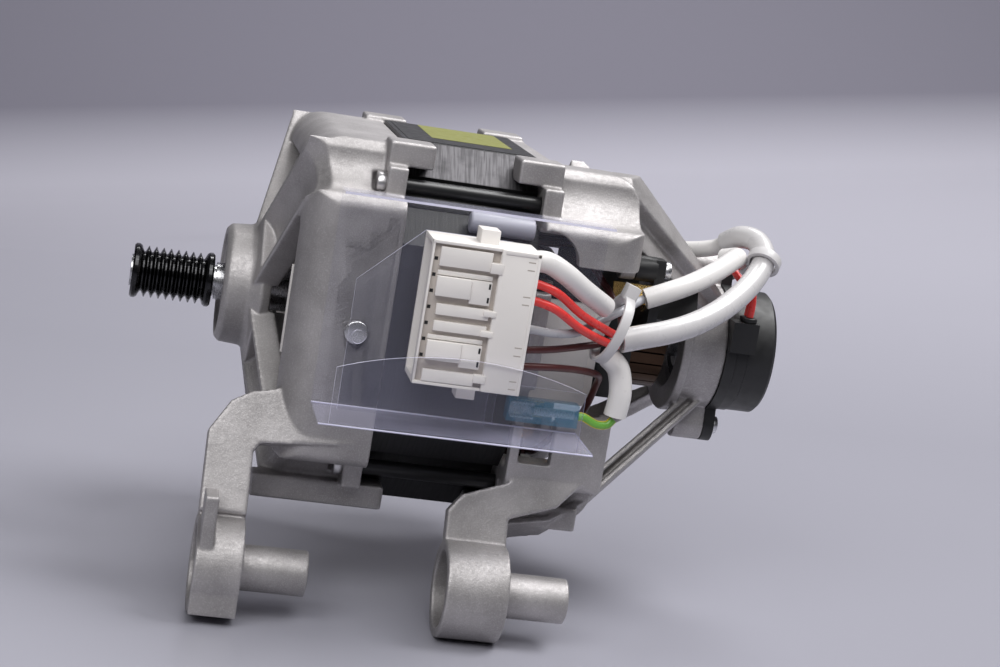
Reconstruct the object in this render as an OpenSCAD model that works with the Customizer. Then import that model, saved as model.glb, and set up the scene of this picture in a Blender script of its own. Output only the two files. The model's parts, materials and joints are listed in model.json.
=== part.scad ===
// Brushed drum motor of a washing machine, with its brackets, wiring and mounting lugs.
// The shaft lies along X, the pulley end at -X, the connector side at -Y and the lugs at -Z.
// The origin is on the shaft axis, in the middle plane of the belt grooves.

/* [Stack] */
// Width of the stator stack across its flats
stack_w = 113; // [107:1:117]
// Length of the stack along the shaft
stack_l = 42; // [38:1:48]
// Width of each flat of the stack
stack_flat = 56.6; // [52:0.2:60]
// Bore of the stator
stator_bore = 60; // [57:1:61]
// Distance from the belt plane to the middle of the stack
belt_to_stack = 84.4; // [82:0.2:90]
// Radius of the notch in each chamfer of the stack
notch_r = 6.5; // [5:0.5:8]
// Diameter of the tie bolts
bolt_d = 5; // [4:0.5:6]
// Distance of a tie bolt outside the chamfer face
bolt_out = 2; // [1:0.5:3]

/* [Rotor] */
// Air gap between rotor and stator
air_gap = 0.6; // [0.4:0.1:1]
// Number of rotor slots
rotor_slots = 12; // [8:2:14]
// Shaft diameter in the rotor
shaft_d = 14; // [13:0.5:16]
// Shaft diameter in the pulley
nose_d = 10; // [8:0.5:11]
// Length of the armature's end turns
end_turn_l = 20; // [14:1:22]
// Diameter of the commutator
commutator_d = 32; // [30:1:34]
// Length of the commutator's brush track
commutator_l = 21; // [20:1:22]
// Number of commutator bars
commutator_bars_n = 24; // [16:2:28]

/* [Bearings] */
// Outer diameter of the front bearing
front_bearing_od = 32; // [30:1:33]
// Bore of the front bearing
front_bearing_id = 12; // [11:0.5:12.5]
// Width of both bearings
bearing_w = 10; // [8:1:11]
// Outer diameter of the rear bearing
rear_bearing_od = 30; // [28:1:31]
// Bore of the rear bearing
rear_bearing_id = 10; // [9:0.5:11]
// Balls in each bearing
balls_n = 8; // [6:1:9]

/* [Pulley] */
// Pitch of the belt grooves
groove_pitch = 2.34; // [2.2:0.02:2.4]
// Number of belt grooves
grooves_n = 9; // [6:1:9]
// Diameter over the ribs
pulley_d = 16.6; // [15:0.2:18]
// Depth of a belt groove
groove_depth = 1.9; // [1.2:0.1:2.2]
// Width of each end flange
flange_w = 2.2; // [1.6:0.1:2.6]
// Height of the end flanges above the ribs
flange_rise = 0.4; // [0.2:0.1:1]

/* [Brackets] */
// Width of the brackets over their side panels
bracket_w = 121; // [119:1:125]
// Height of the brackets over their top and bottom plates
bracket_h = 111; // [109:1:113]
// Height of the side panels
panel_h = 82; // [79:1:84]
// Width of the top and bottom plates
plate_w = 80; // [78:1:82]
// Wall of the castings
wall = 4.5; // [3.5:0.5:5]
// Length of the front bracket's skirt
front_skirt = 30; // [27:1:32]
// Length of the rear bracket's skirt
rear_skirt = 32; // [30:1:34]
// Reach of the corner clips over the stack
clip_reach = 8; // [5:1:10]
// Diameter of the front hub
front_hub_d = 38; // [37:0.5:40]
// Diameter of the rear hub
rear_hub_d = 42; // [40:0.5:44]
// Rounding of the front bracket's shoulder
front_round = 11; // [7:0.5:13]
// Rounding of the rear bracket's shoulder
rear_round = 9; // [6:0.5:10]

/* [Lugs] */
// Sideways distance of the lug axis from the shaft
lug_y = 70; // [68:1:74]
// Depth of the lug axis below the shaft
lug_z = 72; // [70:1:76]
// Outer diameter of the lug cups
lug_d = 29.4; // [27:0.2:32]
// Wall of the lug cups
lug_wall = 3; // [2.5:0.5:4]
// Depth of the front lug
front_lug_l = 14; // [12:1:16]
// Depth of the rear lug
rear_lug_l = 19; // [16:1:21]
// Outer diameter of the lug sleeves
sleeve_d = 13.8; // [12.6:0.2:15]
// Length of the lug sleeves
sleeve_l = 20; // [16:1:22]
// Bore through the lug sleeves
sleeve_bore = 8.5; // [6.5:0.5:9]

/* [Brushes] */
// Width of a carbon brush along the shaft
brush_w = 12.5; // [11:0.5:13.5]
// Thickness of a carbon brush
brush_t = 5; // [4:0.5:6]
// Length of a carbon brush
brush_l = 19; // [17:1:21]
// Angle of the brushes above the connector side
brush_angle = 25; // [23:1:26]
// Outer end of the brush holders from the shaft
holder_end = 47.5; // [46:0.5:48]

/* [Tacho cap] */
// Diameter of the tacho cap
cap_d = 40.6; // [39:0.2:42]
// Length of the tacho cap beyond the rear hub
cap_l = 17; // [15:0.5:19]
// Wall of the tacho cap
cap_wall = 2.5; // [1.5:0.25:3]

/* [Connector] */
// Width of the connector along the shaft
conn_w = 31.5; // [30:0.5:34]
// Height of the connector
conn_h = 42; // [40:1:44]
// Thickness of the connector
conn_d = 17; // [15:0.5:19]
// Number of contacts
contacts_n = 8; // [6:1:8]
// Pitch of the contacts
contact_pitch = 5; // [4.5:0.1:5]
// Thickness of the insulation film
film_t = 0.7; // [0.5:0.1:1]

/* [Leads] */
// Diameter of the white sleeve
white_sleeve_d = 7.4; // [6.4:0.2:8]
// Diameter of the grey sleeves
grey_sleeve_d = 6.4; // [5.6:0.2:7]
// Diameter of a single lead
lead_d = 2.6; // [2:0.2:2.8]

/* [Hidden] */
$fn = 64;

cast_grey = "silver";
steel = "gainsboro";
black_plastic = [0.12, 0.12, 0.13];
cream_plastic = [0.93, 0.91, 0.85];

// Clearance of pieces that are pressed or clamped together, and of sliding and turning ones
seat_gap = 0.03;
slide_gap = 0.2;
race_gap = 0.05;

half_w = stack_w / 2;
half_flat = stack_flat / 2;
half_l = stack_l / 2;
chamfer_r = (half_w + half_flat) / sqrt(2);
bolt_head_d = 1.4 * bolt_d;
bolt_head_h = 3;
bolt_c = (chamfer_r + bolt_out) / sqrt(2);
rotor_r = stator_bore / 2 - air_gap;

// Stations along the shaft, from the middle of the stack
front_face = -half_l;
rear_face = half_l;
front_shoulder = front_face - front_skirt;
rear_shoulder = rear_face + rear_skirt;
front_hub_x = front_shoulder - 18;
front_hub_l = 15;
front_bearing_x = front_hub_x + 4 + bearing_w / 2;
rear_hub_x = rear_shoulder + 27;
rear_hub_l = 15;
rear_hub_end = rear_hub_x + rear_hub_l;
rear_bearing_x = rear_hub_x + 4 + bearing_w / 2;
commutator_x = rear_face + end_turn_l + 11;
commutator_end = commutator_x + commutator_l + 5;
commutator_r = commutator_d / 2;
cap_end = rear_hub_end + cap_l;
shaft_end = rear_hub_end + 11;

// Pulley
pulley_w = grooves_n * groove_pitch + 2 * flange_w;
pulley_r = pulley_d / 2;

// Bracket details
ear_t = 6;
rim_t = 4;
rim_w = 10;
corner_r = 4;
corner_fill = 12;
clip_from = 32;
clip_w = 13;
clip_h = 7.5;
clip_rise = 0.6;
beam_from = 37;
ear_out = 6;
ear_in = 4;
bolt_seat = front_face - ear_t + 0.4;
front_hub_r = front_hub_d / 2;
rear_hub_r = rear_hub_d / 2;
cap_ear_r = 26;
cap_ear_angles = [79, 259];
cap_ear_w = 11;

// Lugs
lug_web = 4;
lug_neck = lug_z - lug_d / 2 + 4;
lug_plate_t = 5;
front_lug_x = front_hub_x - 0.8;
rear_lug_x = rear_face - 16.5;

// Stator windows and coils
window_in = 18;
window_out = 33;
window_low = 32.5;
window_high = 43.5;
pocket_in = 27.5;
pocket_out = 44;
coil_gap = 0.4;
coil_t = 9;
insulator_t = 1.2;
insulator_r = 47;
insulator_wall_t = 2;
insulator_wall_h = 32;
insulator_wall_l = 25;

// Brush gear
holder_l = 16;
holder_h = 13;
holder_from = 24;
holder_x = rear_shoulder + 7;
brush_x = holder_x + 8;
brush_back = commutator_r + race_gap + brush_l;
holder_end_wall = 2;
spring_d = 4.2;
spring_wire = 0.7;
spring_turns = 6;
spring_steps = 8;
tab_t = 3;
tab_y = -46.4;
tab_z = 8;
tab_screw_y = -43.3;
tab_screw_z = 29;
boss_rise = 1;
leg_l = holder_x - rear_shoulder - boss_rise - seat_gap;
holder_screw_l = 10;
blade_rise = 2.5;
blade_w = 6.3;

// Connector place
conn_x = -0.2;
film_y = -max(bracket_w, stack_w) / 2;
conn_y = film_y - 17;
conn_z = 14;
conn_split = 20;
socket_wall = 1.6;
socket_depth = 14;

// Insulation film
film_x0 = -41;
film_x1 = 40;
film_z0 = -22;
film_z1 = 43;
film_front = film_y - 27.5;
top_fold = 9;
lip_arch_r = 110;
lip_top = 2;

// Routes of the leads, from the middle of the stack
red_routes = [
    [[15.8, -79, 25], [18, -79, 25], [24, -78.5, 23], [33, -73.5, 17], [42, -67.2, 12.6], [47.3, -63.7, 10.3]],
    [[15.8, -79, 20], [18, -79, 20], [24, -78.7, 18.3], [33, -74, 13], [42, -67, 9], [47.6, -63.7, 7.4]]
];
grey_route = [
    [15.8, -78, 11.5], [18, -78, 11.5], [25, -76.5, 11], [33, -71, 11.2], [42, -63, 14.6], [50, -57, 18],
    [56.2, -50.4, 20.4]
];
stator_routes = [
    [[15.9, -76, 5], [18, -76, 5], [26, -73, 5.5], [36, -66, 6.2], [43, -61, 7], [48.8, -57.6, 9.5], [50, -53, 14],
     [47, -48, 20], [41, -38, 28], [36, -28, 36], [34.5, -22.5, 38], [32, -22.5, 38]],
    [[15.9, -76, 0], [18, -76, 0], [26, -73, 0], [36, -66, -1], [44, -60, -3], [46, -52, -8], [44, -47.5, -18.5],
     [40, -38, -27], [36, -28, -36], [34.5, -22.5, -38], [32, -22.5, -38]]
];
tacho_routes = [
    [[100.5, -20.8, 14.8], [100.5, -20.8, 20], [99.5, -20, 25], [96.5, -16.5, 29.5], [92.2, -11.8, 32]],
    [[100.5, -18, 14.8], [100.5, -18, 19], [98.5, -15.5, 23.5], [95.5, -12, 27.5], [91, -8.2, 31]]
];
connector_sleeve_route = [[16.1, -77, 31.5], [20, -77, 31.4], [26, -76, 28.5], [33, -72.5, 24], [41.5, -66, 19]];
white_route = [
    [48.5, -63.2, 9], [55, -62, 10.8], [63.5, -60, 13], [72.5, -56, 16], [81.5, -49.5, 20], [90, -41, 25],
    [96.5, -33, 30.5], [99.5, -27, 35.5], [98, -21.5, 39.5], [94, -16.5, 39.8], [90.5, -12, 36.5]
];
brush_sleeve_route = [
    [57.2, -50, 20.6], [64, -49.8, 23.6], [72, -46, 26.6], [81, -38.5, 30.2], [88.5, -30, 33.4], [91.3, -24.5, 34],
    [88.5, -20, 32.5]
];
far_route = [
    [90.2, -11.6, 36.2], [88, -8.7, 34.2], [82, -4, 32], [75, 2, 30.5], [67, 9, 29.5], [58, 21, 26], [52, 31, 17],
    [49.5, 39, 4], [51, 44, -8], [54, 46.4, -17]
];
drop_route = [[46, -62, 3.4], [49.5, -63, 0], [51, -64, -7], [50.5, -64, -14]];
earth_route = [[39.2, -64.5, -15.5], [41, -64.5, -15.5], [45, -64.4, -17.2], [48.5, -64.2, -17], [50.2, -64, -15.1]];

// Terminal of the earth lead
earth_x = 17;
earth_l = 22;
earth_h = 7;
earth_d = 5.4;
earth_y = film_y - 3.1;
earth_z = -15.5;
tab_h = 4.8;
tab_plate = 0.8;

// Cable ties
tie_w = 3;
tie_t = 1.2;
bundle_place = [44.9, -64.6, 12.6];
bundle_r = 9.9;
loop_place = [99.2, -28.6, 34.3];

// Shapes turned or swept along the shaft
module at_stack() translate([belt_to_stack, 0, 0]) children();

module along_x() rotate([90, 0, 90]) children();

module revolve_x(points) along_x() rotate_extrude($fn = 96) polygon(points);

module ring_x(r0, r1, x0, x1) revolve_x([[r0, x0], [r1, x0], [r1, x1], [r0, x1]]);

module disc_x(r, x0, x1) translate([x0, 0, 0]) rotate([0, 90, 0]) cylinder(r = r, h = x1 - x0);

module sector_x(points, centre, width)
    along_x() rotate(centre - width / 2) rotate_extrude(angle = width, $fn = 96) polygon(points);

module slab_x(x0, x1) translate([x0, 0, 0]) along_x() linear_extrude(x1 - x0) children();

module each_corner()
    for (my = [0, 1], mz = [0, 1]) mirror([0, my, 0]) mirror([0, 0, mz]) children();

// A tube along a route of points
function unit(v) = v / norm(v);
function tangent(p, i) = unit(p[min(i + 1, len(p) - 1)] - p[max(i - 1, 0)]);
function square_to(n, t) = unit(n - (n * t) * t);
function start_normal(t) = square_to(abs(t[2]) < 0.9 ? [0, 0, 1] : [1, 0, 0], t);
function normals(p, i = 0, done = []) =
    i == len(p) ? done
    : normals(p, i + 1, concat(done, [
        square_to(i == 0 ? start_normal(tangent(p, 0)) : done[i - 1], tangent(p, i))
      ]));
function spline_point(p, i, t) =
    let (a = p[max(i - 1, 0)], b = p[i], c = p[i + 1], d = p[min(i + 2, len(p) - 1)])
    0.5 * (2 * b + (c - a) * t + (2 * a - 5 * b + 4 * c - d) * t * t + (3 * b - a - 3 * c + d) * t * t * t);
function smooth_route(p, steps) =
    concat([for (i = [0:len(p) - 2], s = [0:steps - 1]) spline_point(p, i, s / steps)], [p[len(p) - 1]]);

module sweep(p, d, sides = 8) {
    n = normals(p);
    last = len(p) - 1;
    points = [
        for (i = [0:last], k = [0:sides - 1])
            let (a = 360 * k / sides)
            p[i] + d / 2 * (cos(a) * n[i] + sin(a) * cross(tangent(p, i), n[i]))
    ];
    sides_faces = [
        for (i = [0:last - 1], k = [0:sides - 1], half = [0, 1])
            let (a = i * sides + k, b = i * sides + (k + 1) % sides)
            half == 0 ? [a, a + sides, b + sides] : [a, b + sides, b]
    ];
    start_cap = [for (k = [1:sides - 2]) [0, k, k + 1]];
    end_cap = [for (k = [1:sides - 2]) [last * sides, last * sides + k + 1, last * sides + k]];
    polyhedron(concat(points), concat(sides_faces, start_cap, end_cap));
}

module lead(route, d) sweep(smooth_route(route, 3), d);

// Outlines across the shaft, Y to the right and Z up
module octagon(w, flat)
    polygon([
        [-flat, -w], [flat, -w], [w, -flat], [w, flat], [flat, w], [-flat, w], [-w, flat], [-w, -flat]
    ]);

module rounded_rect(w, h, r) {
    square([w - 2 * r, h], center = true);
    square([w, h - 2 * r], center = true);
    for (sx = [-1, 1], sy = [-1, 1]) translate([sx * (w / 2 - r), sy * (h / 2 - r)]) circle(r);
}

module cross_outline(inset = 0) {
    rounded_rect(bracket_w - 2 * inset, panel_h - 2 * inset, corner_r);
    rounded_rect(plate_w - 2 * inset, bracket_h - 2 * inset, corner_r);
    if (inset == 0) corner_fillets();
}

module corner_fillets()
    for (my = [0, 1], mz = [0, 1]) mirror([my, 0]) mirror([0, mz])
        translate([plate_w / 2, panel_h / 2]) difference() {
            translate([-1, -1]) square(corner_fill + 1);
            translate([corner_fill, corner_fill]) circle(corner_fill);
        }

module stack_outline(gap = 0) octagon(half_w + gap, half_flat + gap);

module coil_slots()
    for (my = [0, 1], mz = [0, 1]) mirror([my, 0]) mirror([0, mz])
        translate([window_in, window_low]) square([window_out - window_in, window_high - window_low]);

module side_pockets()
    for (m = [0, 1]) mirror([m, 0])
        translate([pocket_in, -window_low - 1]) square([pocket_out - pocket_in, 2 * window_low + 2]);

module stator_outline()
    difference() {
        stack_outline();
        circle(d = stator_bore);
        coil_slots();
        side_pockets();
        for (a = [45:90:315]) rotate(a) translate([chamfer_r + bolt_out, 0]) circle(notch_r);
    }

module stator_core()
    color(black_plastic) at_stack() slab_x(front_face, rear_face) stator_outline();

// Field coils round the upper and lower poles
module coil_outline(grow)
    square([
        stack_l + 2 * insulator_t + 2 * coil_gap + 2 * grow, 2 * window_in + 2 * coil_gap + 2 * grow
    ], center = true);

module field_coil(up)
    color("sienna") at_stack() mirror([0, 0, up ? 0 : 1])
        translate([0, 0, window_low + coil_gap])
            linear_extrude(window_high - window_low - 2 * coil_gap)
                difference() {
                    coil_outline(coil_t);
                    coil_outline(0);
                }

module field_coil_upper() field_coil(true);

module field_coil_lower() field_coil(false);

// End insulators with a wall beside the end turns
module end_insulator() {
    slab_x(rear_face, rear_face + insulator_t)
        difference() {
            circle(insulator_r);
            circle(d = stator_bore + 1);
            coil_slots();
        }
    for (m = [0, 1]) mirror([0, m, 0])
        translate([rear_face, pocket_out + 0.5, -insulator_wall_h / 2])
            cube([insulator_wall_l, insulator_wall_t, insulator_wall_h]);
}

module front_insulator() color(cream_plastic) at_stack() mirror([1, 0, 0]) end_insulator();

module rear_insulator() color(cream_plastic) at_stack() end_insulator();

// Tie bolts, heads on the front ears and tips in blind holes of the rear ears
module at_bolts() along_x() for (a = [45:90:315]) rotate(a) translate([chamfer_r + bolt_out, 0]) children();

module tie_bolts()
    color(steel) at_stack() at_bolts() {
        translate([0, 0, bolt_seat - bolt_head_h]) cylinder(d = bolt_head_d, h = bolt_head_h);
        translate([0, 0, front_face - ear_t - 1]) cylinder(d = bolt_d, h = stack_l + 2 * ear_t - 1);
    }

// Corner ears, bolt holes and clips that both brackets share, at the +X end of the stack
module corner_grip() {
    each_corner() slab_x(rear_face, rear_face + ear_t)
        translate([plate_w / 2 - ear_in, panel_h / 2 - ear_in])
            square([bolt_c + ear_out - plate_w / 2 + ear_in, bolt_c + ear_out - panel_h / 2 + ear_in]);
    each_corner() slab_x(rear_face - clip_reach, rear_face + ear_t)
        difference() {
            translate([clip_from, half_w + clip_rise - clip_h]) square([clip_w, clip_h]);
            stack_outline(seat_gap);
        }
}

// Skirt of a bracket: a cross-shaped box open towards the stack, with a rounded shoulder
module shoulder_profile(w, x1, r) {
    translate([0, -w / 2]) square([x1 - r, w]);
    translate([0, r - w / 2]) square([x1, w - 2 * r]);
    for (s = [-1, 1]) translate([x1 - r, s * (w / 2 - r)]) circle(r);
}

module shoulder_block(inset, x1, r)
    intersection() {
        slab_x(0, x1) cross_outline(inset);
        translate([0, 0, -bracket_h]) linear_extrude(2 * bracket_h) shoulder_profile(bracket_w - 2 * inset, x1, r);
        rotate([90, 0, 0]) translate([0, 0, -bracket_w]) linear_extrude(2 * bracket_w)
            shoulder_profile(bracket_h - 2 * inset, x1, r);
    }

module skirt(length, r)
    difference() {
        shoulder_block(0, rear_face + length, r);
        shoulder_block(wall, rear_face + length - rim_t, r - wall);
        slab_x(-1, rear_face + length + 1) cross_outline(rim_w);
        slab_x(-1, rear_face) square(2 * bracket_w, center = true);
    }

// Beams along the two lower corners
module corner_beams(length)
    for (m = [0, 1]) mirror([0, m, 0]) slab_x(rear_face, rear_face + length)
        translate([beam_from, -half_w - clip_rise]) square([clip_from + clip_w - beam_from, clip_h]);

module bolt_holes() at_bolts() {
    translate([0, 0, front_face - ear_t - 1]) cylinder(d = bolt_d + 2 * seat_gap, h = stack_l + 2 * ear_t - 0.5);
    translate([0, 0, bolt_seat - bolt_head_h - 1]) cylinder(d = bolt_head_d + 1, h = bolt_head_h + 1);
}

// A lug: tilted plate, cup open to the front and sleeve to the rear
module lug_plate(outline, y, z, tilt)
    translate([0, -y, z]) rotate([90 - tilt, 0, 0]) linear_extrude(lug_plate_t) polygon(outline);

module lug_body(x, l) {
    translate([x, -lug_y, -lug_z]) rotate([0, 90, 0]) cylinder(d = lug_d, h = l);
    translate([x, -lug_y, -lug_z]) rotate([0, 90, 0]) cylinder(d = sleeve_d, h = l + sleeve_l);
}

module lug_hollow(x, l) {
    translate([x - 1, -lug_y, -lug_z]) rotate([0, 90, 0]) cylinder(d = lug_d - 2 * lug_wall, h = l - lug_web + 1);
    translate([x - 1, -lug_y, -lug_z]) rotate([0, 90, 0]) cylinder(d = sleeve_bore, h = l + sleeve_l + 2);
}

// Front bracket: four straight spokes, each with a trough that runs on round the shoulder
front_spoke_angles = [45:90:315];
spoke_w = 23;
spoke_root = front_hub_r - 2;
spoke_hub_x = front_shoulder - 9;
rib_r = 64;
spoke_end = rib_r + 10;
spoke_slope = atan((front_shoulder - spoke_hub_x) / (rib_r - spoke_root));
trough_r = 12;
trough_depth = 5;
trough_l = rib_r - front_hub_r - 4;
trough_bend = 2;
corner_floor = (plate_w + panel_h) / sqrt(8) + corner_fill * (sqrt(2) - 1);

module front_spoke()
    translate([0, 0, -spoke_w / 2]) linear_extrude(spoke_w)
        polygon([
            [spoke_hub_x, spoke_root], [front_shoulder, rib_r], [front_shoulder, spoke_end],
            [front_shoulder + 11, spoke_end], [front_hub_x + front_hub_l + 2, spoke_root]
        ]);

module spoke_trough() {
    translate([front_shoulder, rib_r, 0]) rotate(-spoke_slope) translate([trough_depth - trough_r, 0, 0])
        rotate([-90, 0, 0]) translate([0, 0, -trough_l]) cylinder(r = trough_r, h = trough_l + 16);
    translate([front_shoulder + trough_depth, corner_floor, 0]) rotate(-45)
        translate([trough_bend - trough_r, 0, 0]) rotate([90, 0, 0]) cylinder(r = trough_r, h = 50, center = true);
}

module front_lug_plate() {
    top = -22;
    back = 5.2;
    low = -lug_neck;
    inner = front_lug_x + front_lug_l;
    lug_plate([
        [front_shoulder + 25, -13.5], [front_shoulder + 8, -8], [front_shoulder + 2, 0],
        [front_shoulder - 7, -2], [front_shoulder - 13, -5.5], [front_lug_x, -15], [front_lug_x, low - top],
        [inner, low - top], [inner, -20], [front_shoulder - 3, -17.5], [front_shoulder + 25, -15]
    ], bracket_w / 2 - lug_plate_t - back, top, atan((lug_y + 3 + back - bracket_w / 2) / (lug_neck + top)));
}

module front_lug_pad() {
    pad = lug_d / 2 - 0.9;
    translate([front_lug_x, -lug_y - pad, -lug_z - pad + 2]) cube([front_lug_l, pad, pad + 3]);
    translate([front_lug_x + 0.8, -lug_y - pad + 1.4, -lug_z + 8]) cube([4, pad - 4, lug_d / 2 + 1]);
}

module front_bracket()
    color(cast_grey) at_stack() difference() {
        union() {
            revolve_x([
                [front_bearing_id / 2 + 3, front_hub_x], [front_hub_r - 1.5, front_hub_x],
                [front_hub_r, front_hub_x + 1.5], [front_hub_r + 0.5, front_hub_x + front_hub_l - 7],
                [front_hub_r + 3, front_hub_x + front_hub_l - 3], [front_hub_r + 2, front_hub_x + front_hub_l],
                [front_bearing_id / 2 + 3, front_hub_x + front_hub_l]
            ]);
            difference() {
                union() {
                    intersection() {
                        for (a = front_spoke_angles) rotate([a, 0, 0]) front_spoke();
                        slab_x(front_hub_x, front_face) cross_outline();
                    }
                    mirror([1, 0, 0]) skirt(front_skirt, front_round);
                }
                for (a = front_spoke_angles) rotate([a, 0, 0]) spoke_trough();
            }
            mirror([1, 0, 0]) {
                corner_grip();
                corner_beams(front_skirt + 3);
            }
            front_lug_plate();
            lug_body(front_lug_x, front_lug_l);
            front_lug_pad();
        }
        disc_x(front_bearing_od / 2 + seat_gap, front_bearing_x - bearing_w / 2 - 1, front_face);
        disc_x(front_bearing_od / 2, front_hub_x - 1, front_hub_x + 1.5);
        bolt_holes();
        lug_hollow(front_lug_x, front_lug_l);
    }

// Rear bracket: arms that bend from the skirt down to the hub, each a sunk web beside or between ribs
arm_r = 66;
arm_x = rear_shoulder - 3;
arm_root = arm_x - 4;
arm_end_r = rear_hub_r + 1;
arm_end_x = rear_hub_end - 2;
arm_sink = 7;
low_arm_r = 74.5;
low_arm_h = 5.8;
low_flange_t = 2;
low_arm_angle = 234;
low_arm_w = 11;
low_line = [
    [low_arm_r, rear_face + ear_t - 2], [low_arm_r - 3, rear_face + 19], [low_arm_r - 10.5, rear_shoulder - 2],
    [rear_hub_r - 1, rear_hub_end - 2]
];

function arm_profile(sink, t) = [
    [arm_r - sink, arm_root - sink / 4], [arm_r - sink, arm_x], [arm_end_r - sink / 3, arm_end_x - sink / 2],
    [arm_end_r - sink / 3 - 3, arm_end_x - sink / 2 - t], [arm_r - sink - t, arm_root - sink / 4]
];

module upper_arm() {
    sector_x(arm_profile(0, 6.6), 121, 15);
    sector_x(arm_profile(arm_sink, 4), 133, 14);
}

// Channel open to the side, two flanges and a web
function low_edge(d, lead) =
    [for (i = [0:3]) low_line[i] - (i == 0 ? [d, lead] : [0.85 * d, 0.5 * d])];
function low_profile(d, t, lead) =
    let (back = low_edge(d + t, lead)) concat(low_edge(d, lead), [for (i = [3:-1:0]) back[i]]);

module lower_arm() {
    for (d = [0, low_arm_h - low_flange_t]) sector_x(low_profile(d, low_flange_t, 0), low_arm_angle, low_arm_w);
    sector_x(low_profile(1, low_arm_h - 2, -1), low_arm_angle + low_arm_w / 2 - 2.5, 4);
}

module upper_arms() {
    upper_arm();
    rotate([-14, 0, 0]) mirror([0, 1, 0]) upper_arm();
}

module rear_windows() {
    gap = rear_skirt + 2;
    near = -bracket_w / 2 - 1;
    translate([rear_face + 5, near, -17]) cube([gap, 20, 46]);
    translate([rear_face + 3, near, -33]) cube([10, 20, 23]);
    translate([rear_face + 2, near, 29]) rotate([-90, 0, 0]) cylinder(r = 9.5, h = 11.5);
    translate([rear_face + 5, bracket_w / 2 - 19, -28]) cube([gap, 20, 56]);
    translate([rear_face + 7, -24, bracket_h / 2 - 19]) cube([gap, plate_w / 2 + 24.5, 20]);
    translate([rear_face + 7, -24, -bracket_h / 2 - 1]) cube([gap, 48, 20]);
}

module rear_lug_plate() {
    top = -38;
    low = -lug_neck;
    right = rear_lug_x + rear_lug_l;
    lug_plate([
        [rear_lug_x, low - top], [rear_lug_x, -13], [rear_lug_x + 4, -8], [rear_face + 1, -3],
        [rear_face + 6, 2], [rear_face + 27, 2], [rear_face + 17, -9], [right, -14], [right, low - top]
    ], bracket_w / 2 - lug_plate_t, top, atan((lug_y - 1.9 - bracket_w / 2) / (lug_neck + top)));
}

module cap_ear_outline(angle)
    rotate(angle) {
        translate([cap_ear_r, 0]) circle(d = cap_ear_w);
        translate([cap_ear_r / 2, -cap_ear_w / 2]) square([cap_ear_r / 2, cap_ear_w]);
    }

module rear_bracket()
    color(cast_grey) at_stack() difference() {
        union() {
            difference() {
                skirt(rear_skirt, rear_round);
                rear_windows();
            }
            intersection() {
                upper_arms();
                slab_x(rear_face, rear_hub_end) cross_outline();
            }
            for (m = [0, 1]) mirror([0, m, 0]) lower_arm();
            corner_beams(rear_skirt - 4);
            for (m = [0, 180]) rotate([m, 0, 0]) tab_boss();
            disc_x(rear_hub_r, rear_hub_x, rear_hub_end);
            disc_x(rear_hub_r + 2, rear_hub_x, rear_hub_x + 3);
            slab_x(rear_hub_end - 10, rear_hub_end) for (a = cap_ear_angles) cap_ear_outline(a);
            corner_grip();
            rear_lug_plate();
            lug_body(rear_lug_x, rear_lug_l);
        }
        disc_x(rear_bearing_od / 2 + seat_gap, rear_hub_x - 1, rear_bearing_x + bearing_w / 2);
        disc_x(rear_bearing_id / 2 + 4, rear_hub_x, rear_hub_end + 1);
        bolt_holes();
        for (far = [false, true]) holder_screw_axis(far) cylinder(d = 3 + 2 * seat_gap, h = 26, center = true);
        cap_screw_holes();
        lug_hollow(rear_lug_x, rear_lug_l);
    }

// Rotor
module shaft()
    color(steel) at_stack() {
        pulley_seat = pulley_w / 2 + 1 - belt_to_stack;
        disc_x(nose_d / 2, -belt_to_stack - pulley_w / 2 - 0.5, pulley_seat + 1);
        disc_x(front_bearing_id / 2 - seat_gap, pulley_seat, front_bearing_x + bearing_w / 2 + 1);
        disc_x(shaft_d / 2, front_bearing_x + bearing_w / 2, commutator_end);
        disc_x(rear_bearing_id / 2 - seat_gap, commutator_end - 1, shaft_end);
    }

slot_mid = rotor_r - 8;
slot_w = 8;

module rotor_slot(gap = 0)
    translate([slot_mid, 0]) {
        circle(d = slot_w - 2 * gap);
        translate([-5, -slot_w / 4 + gap]) square([8, slot_w / 2 - 2 * gap]);
    }

module rotor_core()
    color("dimgray") at_stack() slab_x(front_face, rear_face)
        difference() {
            circle(rotor_r);
            circle(shaft_d / 2 + seat_gap);
            for (i = [0:rotor_slots - 1]) rotate(i * 360 / rotor_slots) {
                rotor_slot();
                translate([slot_mid, -1.2]) square([rotor_r, 2.4]);
            }
        }

// Armature winding: slot sides and end turns drawn in towards the shaft
module end_turns(start, length, inner)
    difference() {
        revolve_x([
            [inner, start], [rotor_r - 2.5, start], [rotor_r - 1.5, start + length * 0.35],
            [rotor_r - 4, start + length * 0.75], [rotor_r - 9, start + length], [inner, start + length * 0.85]
        ]);
        for (i = [0:rotor_slots - 1])
            sector_x([
                [rotor_r - 6, start], [rotor_r, start], [rotor_r, start + length], [rotor_r - 10, start + length * 1.1]
            ], (i + 0.5) * 360 / rotor_slots, 5);
    }

module armature_winding()
    color("saddlebrown") at_stack() {
        slab_x(front_face - 1, rear_face + 1)
            for (i = [0:rotor_slots - 1]) rotate(i * 360 / rotor_slots) rotor_slot(seat_gap);
        end_turns(rear_face, end_turn_l, shaft_d / 2 + 1);
        mirror([1, 0, 0]) end_turns(rear_face, end_turn_l, shaft_d / 2 + 1);
    }

module commutator_core()
    color("saddlebrown") at_stack()
        ring_x(shaft_d / 2 + seat_gap, commutator_r - 3.5, commutator_x - 5.5, commutator_end - 0.5);

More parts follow.
